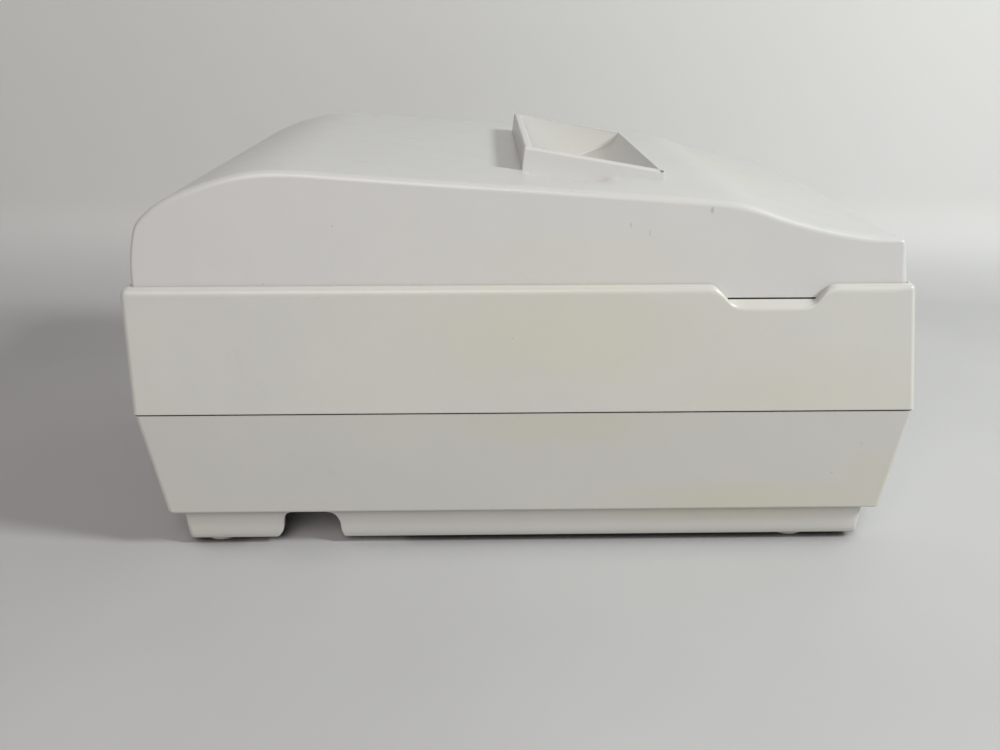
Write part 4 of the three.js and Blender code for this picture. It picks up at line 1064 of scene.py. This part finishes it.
# Parts: x0, x1, y0, y1, height, kind. Cans: x, y, radius, height.
MAIN_PARTS = [
    (-20, 12, -60, -28, 4, "chip"), (30, 58, -64, -36, 3.5, "chip"),
    (30, 58, -20, 8, 3.5, "chip"), (80, 120, -70, -52, 4.5, "chip"),
    (80, 120, -40, -22, 4.5, "chip"), (-40, -32, 10, 50, 9, "connector"),
    (100, 108, 0, 50, 9, "connector"), (130, 142, -100, -60, 11.5, "block")]
MAIN_CANS = [(0, 20, 4, 9), (12, 20, 4, 9), (70, 30, 3.2, 8), (70, -90, 3.2, 8),
             (20, -90, 3.2, 8)]
POWER_PARTS = [(-40, 0, 84, 120, 33.5, "block"), (54, 62, 80, 124, 29.5, "block"),
               (76, 100, 84, 100, 13.5, "block")]
POWER_CANS = [(24, 100, 7.5, 25), (34, 111, 5, 20), (82, 114, 6, 21), (95, 114, 6, 21),
              (8, 110, 4, 12)]


def chip_leads(x0, x1, y0, y1, height):
    """Leads along the two longer sides."""
    leads = []
    z0, z1 = BOARD_TOP, BOARD_TOP + height * 0.62
    for i in range(int(max(x1 - x0, y1 - y0) / LEAD_PITCH) - 1):
        t = 2.2 + i * LEAD_PITCH
        if x1 - x0 >= y1 - y0:
            for y in (y0 - 0.55, y1 - 0.15):
                leads.append(box(x0 + t, x0 + t + 0.5, y, y + 0.7, z0, z1))
        else:
            for x in (x0 - 0.55, x1 - 0.15):
                leads.append(box(x, x + 0.7, y0 + t, y0 + t + 0.5, z0, z1))
    return leads


def connector(x0, x1, y0, y1, height):
    """Open-topped shroud and its two rows of pins."""
    shroud = box(x0, x1, y0, y1, BOARD_Z + 1.5, BOARD_TOP + height)
    cut(shroud, box(x0 + 1, x1 - 1, y0 + 1, y1 - 1, BOARD_Z + 4, BOARD_Z + 3 + height))
    pins = []
    for i in range(int((y1 - y0 - 4) / LEAD_PITCH)):
        for share in (0.36, 0.64):
            x, y = lerp(x0, x1, share), i * LEAD_PITCH
            pins.append(box(x - 0.3, x + 0.3, y0 + 3 + y, y0 + 3.6 + y,
                            BOARD_Z + 2, BOARD_Z + height))
    return softened(shroud, 0.25), pins


def can(x, y, r, height):
    z = BOARD_Z
    return turned("Z", x, y, [
        (0, z + 1.5), (r, z + 1.5), (r, z + 2.4), (r - 0.35, z + 2.9), (r, z + 3.4),
        (r, z + 1.1 + height), (r - 0.5, z + 1.6 + height), (r - 1, z + 1.5 + height),
        (0, z + 1.5 + height)], 32)


def make_board(x0, x1, y0, y1, parts, cans, name, material):
    piece(softened(box(x0, x1, y0, y1, BOARD_Z, BOARD_TOP), 0.2, 1), name, "root", material)
    bodies, leads = [], []
    for *extent, height, kind in parts:
        if kind == "chip":
            bodies.append(soft_box(*extent, BOARD_Z + 2.2, BOARD_TOP + height, 0.3))
            leads += chip_leads(*extent, height)
        elif kind == "connector":
            shroud, pins = connector(*extent, height)
            bodies.append(shroud)
            leads += pins
        else:
            bodies.append(soft_box(*extent, BOARD_Z + 1.5, BOARD_TOP + height, 0.8))
    tins = [can(*row) for row in cans]
    for group, suffix, finish in ((bodies, "_bodies", "black_plastic"),
                                  (leads, "_leads", "steel"), (tins, "_cans", "motor_can")):
        if group:
            piece(merged(*group), name + suffix, "root", finish, replaces=False)


make_board(-58, 158, -112, 64, MAIN_PARTS, MAIN_CANS, "main_board", "board_green")
make_board(-58, 118, 72, 130, POWER_PARTS, POWER_CANS, "power_board", "board_brown")


# ------------------------------------------------------------------ material builder
class Mat:
    """Node material in object space, in metres, with colour laid on in coats."""

    def __init__(self, name, surface="BsdfPrincipled"):
        self.material = bpy.data.materials.new(name)
        self.material.use_nodes = True
        self.tree = self.material.node_tree
        self.tree.nodes.clear()
        output = self.node("OutputMaterial")
        self.surface = self.node(surface)
        self.put(output.inputs[0], self.surface.outputs[0])
        self.coords = self.node("TexCoord").outputs["Object"]
        self.colour = None

    def put(self, socket, value):
        if isinstance(value, bpy.types.NodeSocket):
            self.tree.links.new(value, socket)
            return
        if isinstance(value, tuple) and len(value) == 3 and socket.type == "RGBA":
            value = (*value, 1)
        socket.default_value = value

    def node(self, kind, inputs=None, **settings):
        n = self.tree.nodes.new("ShaderNode" + kind)
        for key, value in settings.items():
            setattr(n, key, value)
        for key, value in (inputs or {}).items():
            self.put(n.inputs[key], value)
        return n

    def finish(self, **inputs):
        for key, value in inputs.items():
            self.put(self.surface.inputs[key.replace("_", " ")], value)
        return self.material

    def noise(self, scale, detail=2.0, rough=0.5, vector=None, distortion=0.0):
        return self.node("TexNoise", {
            "Vector": vector or self.coords, "Scale": scale, "Detail": detail,
            "Roughness": rough, "Distortion": distortion}).outputs["Fac"]

    def cells(self, scale, feature="F1", vector=None, randomness=1.0):
        return self.node("TexVoronoi", {
            "Vector": vector or self.coords, "Scale": scale,
            "Randomness": randomness}, feature=feature).outputs["Distance"]

    def mapped(self, scale=(1, 1, 1), offset=(0, 0, 0), turn=(0, 0, 0), vector=None):
        return self.node("Mapping", {
            "Vector": vector or self.coords, "Location": offset, "Rotation": turn,
            "Scale": scale}).outputs[0]

    def math(self, operation, a, b, clamp=False):
        return self.node("Math", {0: a, 1: b}, operation=operation, use_clamp=clamp).outputs[0]

    def mul(self, a, b):
        return self.math("MULTIPLY", a, b)

    def add(self, a, b):
        return self.math("ADD", a, b)

    def sub(self, a, b):
        return self.math("SUBTRACT", a, b)

    def vary(self, base, mask, amount):
        """Base value swung up and down by a mask centred on 0.5."""
        return self.add(base, self.mul(self.sub(mask, 0.5), amount))

    def step(self, value, lo, hi, start=0.0, end=1.0):
        """Smooth step: start at lo, end at hi."""
        return self.node("MapRange", {
            "Value": value, "From Min": lo, "From Max": hi, "To Min": start, "To Max": end},
            interpolation_type="SMOOTHSTEP").outputs["Result"]

    def mix(self, factor, a, b):
        return self.node("Mix", {0: factor, 6: a, 7: b}, data_type="RGBA").outputs[2]

    def coat(self, top, mask, amount=None):
        """Lay a colour over the present one where the mask is 1."""
        factor = mask if amount is None else self.mul(mask, amount)
        self.colour = self.mix(factor, self.colour, top)

    def blob(self, centre, size, warp, soft):
        """Soft ragged ellipsoid about a point, 1 inside to 0 outside."""
        local = self.mapped(scale=tuple(1 / s for s in size),
                            offset=tuple(-c / s for c, s in zip(centre, size)))
        length = self.node("VectorMath", {0: local}, operation="LENGTH").outputs["Value"]
        return self.step(self.vary(length, warp, amount=0.9), soft, 1.15, start=1.0, end=0.0)

    def edge(self, radius, lo=0.02, hi=0.22):
        """1 on rounded or sharp edges, 0 on open faces."""
        rounded = self.node("Bevel", {"Radius": radius}, samples=4).outputs[0]
        normal = self.node("NewGeometry").outputs["Normal"]
        dot = self.node("VectorMath", {0: rounded, 1: normal}, operation="DOT_PRODUCT")
        return self.step(self.sub(1.0, dot.outputs["Value"]), lo, hi)

    def cavity(self, distance, lo=0.35, hi=0.95):
        """1 in corners and recesses, 0 in the open."""
        occlusion = self.node("AmbientOcclusion", {"Distance": distance}, samples=6)
        return self.step(occlusion.outputs["AO"], lo, hi, start=1.0, end=0.0)

    def bump(self, height, strength, distance, normal=None):
        inputs = {"Strength": strength, "Distance": distance, "Height": height}
        if normal is not None:
            inputs["Normal"] = normal
        return self.node("Bump", inputs).outputs[0]


def shade(colour, *factors):
    """Scale a colour by one factor, or by one for each channel."""
    if len(factors) == 1:
        factors = factors * 3
    return tuple(min(1.0, c * k) for c, k in zip(colour, factors))


# ------------------------------------------------------------------ finishes
def aged_abs(name, colour, yellow, patches, grime, rough, seed, painted_shade=0.0, chips=(),
             marks=()):
    """Old pale housing plastic. Patches, chips and marks are placed in metres."""
    m = Mat(name)
    own = m.mapped(offset=(seed, seed * 0.7, seed * 1.3))
    big = m.noise(scale=7.5, detail=3.0, vector=own)
    mid = m.noise(scale=46, detail=4.0, rough=0.55, vector=own)
    fine = m.noise(scale=900, detail=3.0, rough=0.6)
    m.colour = m.mix(m.step(big, lo=0.35, hi=0.65), shade(colour, 0.985), shade(colour, 1.015))
    m.coat(shade(colour, 0.965), m.step(mid, lo=0.4, hi=0.75), amount=0.35)
    # sun-yellowed areas
    age = m.mul(m.step(big, lo=0.45, hi=0.72), 0.35 * yellow)
    for centre, size, amount in patches:
        age = m.math("MAXIMUM", age, m.mul(m.blob(centre, size, warp=mid, soft=0.15), amount))
    m.coat(shade(colour, 1.0, 0.985, 0.82), age)
    # edges are paler, partly from rubbed wear and partly as a painted highlight along every edge;
    # corners of recesses hold dirt
    rubbed = m.noise(scale=70, detail=4, rough=0.6, vector=own)
    wear_and_highlight = m.mul(m.edge(radius=0.0011, lo=0.03, hi=0.3),
                 m.step(rubbed, lo=0.38, hi=0.62, start=0.25))
    m.coat(shade(colour, 1.13), wear_and_highlight, amount=0.35)
    patchy = m.noise(scale=120, detail=5, rough=0.65, vector=own)
    dirt = m.mul(m.cavity(distance=0.005), m.step(patchy, lo=0.3, hi=0.7, start=0.45))
    m.coat(shade(colour, 0.52, 0.47, 0.38), dirt, amount=grime)
    # painted shade: enclosed places darken, as under the base's overhang, the deepest most, down
    # to nearly black inside the cable notch
    if painted_shade:
        m.coat(shade(colour, 0.34, 0.33, 0.31), m.cavity(distance=0.011, lo=0.30, hi=0.98),
               amount=painted_shade)
        # nearly black painted shade where the occlusion is deepest
        m.coat((0.06, 0.058, 0.054), m.cavity(distance=0.024, lo=0.12, hi=0.62),
               amount=painted_shade)
    smudge = m.step(m.noise(scale=22, detail=6, rough=0.7, vector=own, distortion=0.6),
                    lo=0.60, hi=0.74)
    m.coat(shade(colour, 0.72, 0.69, 0.60), smudge, amount=0.09)
    # fine scratches follow the borders of stretched cells
    stretched = m.mapped(scale=(1.0, 1.0, 9.0), turn=(0.15, 0.75, 0.3), vector=own)
    borders = m.cells(scale=26, feature="DISTANCE_TO_EDGE", vector=stretched)
    scratch = m.mul(m.step(borders, lo=0.0, hi=0.012, start=1.0, end=0.0),
                    m.step(m.noise(scale=14, vector=own), lo=0.60, hi=0.70))
    m.coat(shade(colour, 0.78), scratch, amount=0.16)
    speck = m.mul(m.step(m.cells(scale=105, vector=own), lo=0.02, hi=0.07, start=1.0, end=0.0),
                  m.step(m.noise(scale=31, detail=0, vector=own), lo=0.66, hi=0.70))
    m.coat((0.20, 0.17, 0.13), speck, amount=0.38)
    for centre, size in chips:
        m.coat((0.05, 0.04, 0.035), m.blob(centre, size, warp=m.noise(scale=900), soft=0.55),
               amount=0.85)
    for centre, size, amount in marks:
        m.coat((0.22, 0.20, 0.17), m.blob(centre, size, warp=m.noise(scale=1400), soft=0.5),
               amount=amount)
    roughness = m.sub(m.vary(rough, mid, amount=0.10), m.mul(wear_and_highlight, 0.06))
    roughness = m.add(roughness, m.mul(smudge, 0.10))
    wavy = m.bump(m.noise(scale=55, detail=1.0, rough=0.4), strength=0.12, distance=0.0012)
    grain = m.bump(fine, strength=0.22, distance=0.00010, normal=wavy)
    scored = m.bump(m.sub(1.0, scratch), strength=0.10, distance=0.00006, normal=grain)
    return m.finish(Base_Color=m.colour, Roughness=roughness, Normal=scored, IOR=1.5)


def moulded(name, colour, rough, grain=1100, depth=0.18, edge=0.35, grime=0.2, spread=0.05):
    """Plain plastic or rubber with a fine grain."""
    m = Mat(name)
    cloud = m.noise(scale=18, detail=4, rough=0.6)
    mottle = m.noise(scale=130, detail=5, rough=0.6)
    m.colour = m.mix(m.step(cloud, lo=0.35, hi=0.68),
                     shade(colour, 1 - spread), shade(colour, 1 + spread))
    m.coat(shade(colour, 0.88), m.step(mottle, lo=0.45, hi=0.8), amount=0.3)
    wear_and_highlight = m.mul(m.edge(radius=0.0006, lo=0.03, hi=0.3),
                 m.step(mottle, lo=0.35, hi=0.65, start=0.3))
    pale = tuple(min(1.0, c * 1.15 + 0.03) for c in colour)
    dark = tuple(c * 0.45 + 0.01 for c in colour)
    m.coat(pale, wear_and_highlight, amount=edge)
    m.coat(dark, m.cavity(distance=0.004), amount=grime)
    surface = m.bump(m.noise(scale=grain, detail=3, rough=0.6), strength=depth, distance=0.0001)
    return m.finish(Base_Color=m.colour, Roughness=m.vary(rough, mottle, amount=0.16),
                    Normal=surface, IOR=1.48)


def metal(name, colour, rough, brush=(1, 1, 1), scale=300, depth=0.1, edge=0.3, stain=0.25):
    """Bare metal; brush stretches the fine lines along an axis."""
    m = Mat(name)
    lines = m.noise(scale=scale, detail=4, rough=0.6, vector=m.mapped(scale=brush))
    cloud = m.noise(scale=25, detail=4, rough=0.6)
    m.colour = m.mix(m.step(cloud, lo=0.35, hi=0.7), shade(colour, 0.9), shade(colour, 1.06))
    m.coat(shade(colour, 0.8), m.step(lines, lo=0.4, hi=0.7), amount=0.25)
    m.coat(shade(colour, 0.62, 0.57, 0.5),
           m.step(m.noise(scale=60, detail=6, rough=0.7), lo=0.58, hi=0.72), amount=stain)
    m.coat(shade(colour, 1.2), m.edge(radius=0.0005, lo=0.03, hi=0.3), amount=edge)
    return m.finish(Base_Color=m.colour, Metallic=1.0,
                    Roughness=m.vary(rough, lines, amount=0.25),
                    Normal=m.bump(lines, strength=depth, distance=0.0001))


def clear_glass(name, tint):
    """Thin glass: passes light straight through, reflects by angle, with smears and dust."""
    m = Mat(name, surface="MixShader")
    smear = m.step(m.noise(scale=14, detail=5, rough=0.65, distortion=0.8), lo=0.5, hi=0.75)
    dust = m.step(m.noise(scale=700, rough=0.6), lo=0.68, hi=0.76)
    through = m.node("BsdfTransparent", {0: m.mix(m.mul(smear, 0.2), tint, shade(tint, 0.93))})
    ripple = m.bump(m.noise(scale=6), strength=0.03, distance=0.002)
    gloss = m.node("BsdfGlossy", {"Roughness": m.add(0.02, m.mul(smear, 0.05)),
                                  "Normal": ripple})
    fresnel = m.node("Fresnel", {"IOR": 1.5})
    clean = m.node("MixShader", {0: m.math("ADD", fresnel.outputs[0], 0.02, clamp=True),
                                 1: through.outputs[0], 2: gloss.outputs[0]})
    dirt = m.node("BsdfDiffuse", {"Color": (0.75, 0.76, 0.74)})
    dusty = m.node("MixShader", {0: m.add(m.mul(smear, 0.03), m.mul(dust, 0.12)),
                                 1: clean.outputs[0], 2: dirt.outputs[0]})
    # the ground edge shows green
    ground = m.node("BsdfDiffuse", {"Color": (0.30, 0.52, 0.45)})
    at_edge = m.mul(m.edge(radius=0.0006, lo=0.05, hi=0.3), 0.6)
    for i, value in enumerate((at_edge, dusty.outputs[0], ground.outputs[0])):
        m.put(m.surface.inputs[i], value)
    return m.material


def circuit(name, colour, copper):
    """Circuit board with raised tracks and bare pads."""
    m = Mat(name)
    black, white = (0, 0, 0), (1, 1, 1)
    tracks = m.node("TexBrick", {
        "Vector": m.mapped(scale=(260, 260, 1)), "Scale": 1.0, "Mortar Size": 0.06,
        "Color1": black, "Color2": black, "Mortar": white}).outputs["Color"]
    tracks = m.mul(tracks, m.step(m.noise(scale=45, rough=0.4), lo=0.46, hi=0.5))
    pads = m.step(m.cells(scale=390, randomness=0.0), lo=0.18, hi=0.24, start=1.0, end=0.0)
    pads = m.mul(pads, m.step(m.noise(scale=60, detail=1), lo=0.56, hi=0.6))
    m.colour = m.mix(m.step(m.noise(scale=20, detail=4), lo=0.4, hi=0.7),
                     shade(colour, 0.85), shade(colour, 1.15))
    m.coat(shade(colour, 2.0), tracks, amount=0.6)
    m.coat(copper, pads)
    m.coat(shade(colour, 1.9), m.edge(radius=0.0006), amount=0.5)
    relief = m.add(tracks, m.mul(pads, 0.5))
    return m.finish(Base_Color=m.colour, Roughness=m.add(0.32, m.mul(m.noise(scale=200), 0.15)),
                    Metallic=m.mul(pads, 0.9),
                    Normal=m.bump(relief, strength=0.3, distance=0.00008))


def sheet(name, colour):
    """Matt white sheet, faintly yellowed and specked."""
    m = Mat(name)
    cloud = m.noise(scale=30, detail=5, rough=0.6)
    grain = m.noise(scale=1500, rough=0.6)
    m.colour = m.mix(m.step(cloud, lo=0.4, hi=0.7), shade(colour, 0.97), colour)
    m.coat(shade(colour, 0.97, 0.94, 0.84),
           m.step(m.noise(scale=9, detail=4, rough=0.6), lo=0.5, hi=0.75), amount=0.25)
    m.coat(shade(colour, 0.86), m.edge(radius=0.0015), amount=0.4)
    m.coat((0.3, 0.27, 0.22), m.step(m.cells(scale=140), lo=0.03, hi=0.06, start=1.0, end=0.0),
           amount=0.3)
    relief = m.add(grain, m.mul(cloud, 0.8))
    return m.finish(Base_Color=m.colour, Roughness=0.75,
                    Normal=m.bump(relief, strength=0.2, distance=0.00015))


ABS = (0.628, 0.626, 0.602)

# Yellowed patches: centre, size, amount
UPPER_PATCHES = [((0.018, -0.151, 0.138), (0.125, 0.05, 0.042), 0.5),
                 ((0.150, -0.152, 0.105), (0.10, 0.05, 0.03), 0.35),
                 ((-0.02, 0.151, 0.13), (0.13, 0.05, 0.04), 0.5),
                 ((0.205, 0.0, 0.12), (0.05, 0.1, 0.03), 0.4)]
BASE_PATCHES = [((0.13, -0.145, 0.03), (0.11, 0.05, 0.022), 0.6),
                ((0.02, -0.148, 0.085), (0.09, 0.05, 0.02), 0.45),
                ((0.205, -0.10, 0.05), (0.03, 0.09, 0.03), 0.5),
                ((-0.1, 0.145, 0.04), (0.12, 0.05, 0.03), 0.4)]
LID_PATCHES = [((0.03, -0.142, 0.178), (0.11, 0.03, 0.022), 0.3),
               ((0.05, 0.06, 0.21), (0.05, 0.05, 0.03), 0.35),
               ((0.145, 0.04, 0.196), (0.05, 0.11, 0.02), 0.35)]
# Chips at the chute's near front corner: centre, size
LID_CHIPS = [((0.0792, -0.0880, 0.2146), (0.0019, 0.0016, 0.0014)),
             ((0.0768, -0.0876, 0.2152), (0.0009, 0.0008, 0.0008))]
# Marks along the near edge: centre, size, amount
LID_MARKS = [((0.0196, -0.1415, 0.2134), (0.0024, 0.0012, 0.0005), 0.55),
             ((0.0236, -0.1415, 0.2129), (0.0022, 0.0012, 0.0004), 0.5),
             ((-0.091, -0.1407, 0.2216), (0.0008, 0.0008, 0.0007), 0.7),
             ((0.0962, -0.1422, 0.2032), (0.0010, 0.001, 0.0020), 0.35),
             ((0.054, -0.1428, 0.1957), (0.0004, 0.001, 0.0018), 0.4),
             ((0.0642, -0.1431, 0.1915), (0.0003, 0.001, 0.0024), 0.35)]

MATS = {
    "housing_upper": aged_abs("housing_upper", shade(ABS, 0.985), yellow=0.5,
                              patches=UPPER_PATCHES, grime=0.22, rough=0.34, seed=1.7),
    "housing_base": aged_abs("housing_base", shade(ABS, 0.965), yellow=0.6,
                             patches=BASE_PATCHES, grime=0.28, rough=0.38, seed=4.1,
                             painted_shade=0.95),
    "lid": aged_abs("lid", shade(ABS, 1, 1, 1.035), yellow=0.35, patches=LID_PATCHES,
                    grime=0.12, rough=0.32, seed=8.9, chips=LID_CHIPS, marks=LID_MARKS),
}
# moulded: name, colour, roughness, grain scale, grain depth, edge wear, grime, spread
# metal: name, colour, roughness, brush, line scale, line depth, edge wear, stain
# circuit: name, colour, pad colour
FINISHES = [
    (moulded, "inner_plastic", (0.55, 0.53, 0.47), 0.52),
    (clear_glass, "glass", (0.86, 0.93, 0.90)),
    (sheet, "white_pad", (0.86, 0.86, 0.83)),
    (moulded, "feet", (0.74, 0.72, 0.65), 0.6, 700, 0.3, 0.15, 0.5, 0.06),
    (metal, "steel", (0.60, 0.60, 0.61), 0.32),
    (metal, "polished_rod", (0.78, 0.78, 0.79), 0.12, (0.02, 1, 1), 500, 0.04, 0.1, 0.1),
    (metal, "zinc_sheet", (0.58, 0.59, 0.60), 0.36, (1, 1, 1), 90, 0.06, 0.3, 0.2),
    (metal, "motor_can", (0.38, 0.385, 0.40), 0.34, (1, 1, 0.05), 400, 0.06, 0.4, 0.2),
    (moulded, "black_plastic", (0.022, 0.022, 0.024), 0.5, 900, 0.3, 0.4, 0.1, 0.15),
    (moulded, "black_gloss", (0.018, 0.018, 0.020), 0.24, 700, 0.08, 0.4, 0.1, 0.15),
    (moulded, "belt_rubber", (0.026, 0.026, 0.027), 0.75, 1400, 0.5, 0.5, 0.1, 0.2),
    (moulded, "roller_rubber", (0.045, 0.045, 0.048), 0.7, 1200, 0.5, 0.3, 0.1, 0.2),
    (moulded, "nylon", (0.78, 0.75, 0.64), 0.42, 500, 0.1, 0.2, 0.35),
    (metal, "brass", (0.78, 0.58, 0.26), 0.26, (1, 1, 1), 260, 0.06, 0.35, 0.3),
    (circuit, "board_green", (0.025, 0.13, 0.065), (0.62, 0.56, 0.4)),
    (circuit, "board_brown", (0.24, 0.17, 0.075), (0.62, 0.58, 0.48)),
    (moulded, "cable_flat", (0.68, 0.67, 0.62), 0.4, 300, 0.1, 0.2, 0.3),
    (moulded, "lamp_glass", (0.88, 0.87, 0.82), 0.12, 200, 0.03, 0.1, 0.1),
    (metal, "mirror", (0.88, 0.90, 0.91), 0.03, (1, 1, 1), 40, 0.01, 0.05, 0.03),
    (moulded, "grey_plastic", (0.13, 0.13, 0.14), 0.5, 900, 0.3, 0.4, 0.1, 0.1),
    (moulded, "roller_grey", (0.42, 0.42, 0.43), 0.45, 800, 0.2, 0.2, 0.2),
    (moulded, "roller_white", (0.82, 0.82, 0.79), 0.5, 900, 0.2, 0.1, 0.25),
    (moulded, "lens_green", (0.05, 0.26, 0.09), 0.12, 200, 0.02, 0.3, 0.1),
]
for maker, name, *values in FINISHES:
    MATS[name] = maker(name, *values)

for o, material in PIECES:
    o.data.materials.clear()
    o.data.materials.append(MATS[material])

# the frame's own pieces take the same finishes, and slightly broken edges where they show
for o in NODES.values():
    slots = o.data.materials
    if slots:
        finish = MATS[slots[0].name.split(".")[0]]
        for i in range(len(slots)):
            slots[i] = finish
    if o.hide_render:
        continue
    edges = o.modifiers.new("edges", "BEVEL")
    edges.width = 0.0003
    edges.segments = 2
    edges.limit_method = "ANGLE"
    edges.angle_limit = math.radians(35)
    edges.harden_normals = True

# ------------------------------------------------------------------ floor and backdrop, in metres
STAGE_HALF_WIDTH = 3.2
COVE_RADIUS, COVE_Y = 0.10, 0.33


def stage_material():
    m = Mat("stage")
    height = m.node("SeparateXYZ", {0: m.coords}).outputs[2]
    m.colour = m.mix(m.step(height, lo=0.0, hi=0.09), (0.52, 0.52, 0.53), (0.70, 0.70, 0.695))
    m.coat(m.mix(0.5, m.colour, (0.66, 0.66, 0.66)),
           m.step(m.noise(scale=3, detail=3), lo=0.35, hi=0.7), amount=0.5)
    # contact shadow
    m.coat((0.03, 0.03, 0.03), m.cavity(distance=0.045, lo=0.04, hi=0.56), amount=0.96)
    grain = m.bump(m.noise(scale=260, detail=3), strength=0.05, distance=0.0003)
    return m.finish(Base_Color=m.colour, Roughness=0.62, Normal=grain)


def make_stage():
    """Floor that curves up into a backdrop on the far side."""
    profile = [(-2.2, 0.0), (0.30, 0.0)]  # y, z
    for i in range(13):
        t = math.pi / 2 * i / 12
        profile.append((COVE_Y + COVE_RADIUS * math.sin(t),
                        COVE_RADIUS - COVE_RADIUS * math.cos(t)))
    profile += [(COVE_Y + COVE_RADIUS, 0.6), (COVE_Y + COVE_RADIUS, 2.6)]
    n = len(profile)
    verts = [(x, y, z) for x in (-STAGE_HALF_WIDTH, STAGE_HALF_WIDTH) for y, z in profile]
    mesh = bpy.data.meshes.new("stage")
    mesh.from_pydata(verts, [], [(j, j + n, j + n + 1, j + 1) for j in range(n - 1)])
    for polygon in mesh.polygons:
        polygon.use_smooth = True
    o = linked("stage", mesh)
    mesh.materials.append(stage_material())


make_stage()


# ------------------------------------------------------------------ light and camera, in metres
def area_light(name, place, aim, size, power, colour):
    light = bpy.data.lights.new(name, "AREA")
    light.energy = power
    light.size = size
    light.color = colour
    o = linked(name, light)
    o.location = place
    o.rotation_euler = (Vector(aim) - Vector(place)).to_track_quat("-Z", "Y").to_euler()


area_light("key", place=(1.35, -0.62, 1.15), aim=(0.0, 0.0, 0.12), size=0.30, power=22.9,
           colour=(0.96, 1.0, 0.965))
area_light("front", place=(-0.3, -1.6, 1.25), aim=(0.0, 0.0, 0.1), size=1.2, power=19.0,
           colour=(1.0, 0.94, 0.905))

scene = bpy.context.scene
world = bpy.data.worlds.new("studio")
scene.world = world
world.use_nodes = True
background = world.node_tree.nodes["Background"]
background.inputs["Color"].default_value = (0.94, 0.96, 1.0, 1)
background.inputs["Strength"].default_value = 0.03
scene.view_settings.view_transform = "Standard"
scene.view_settings.look = "None"

camera_data = bpy.data.cameras.new("camera")
camera_data.lens = 32.4
camera_data.sensor_width = 36
camera_data.clip_start = 0.01
camera = linked("camera", camera_data)
camera.location = (-0.0226, -0.6067, 0.2994)
# tilted down from level, then panned
camera.rotation_euler = (math.radians(90 - 22.03), 0, math.radians(-1.01))
scene.camera = camera
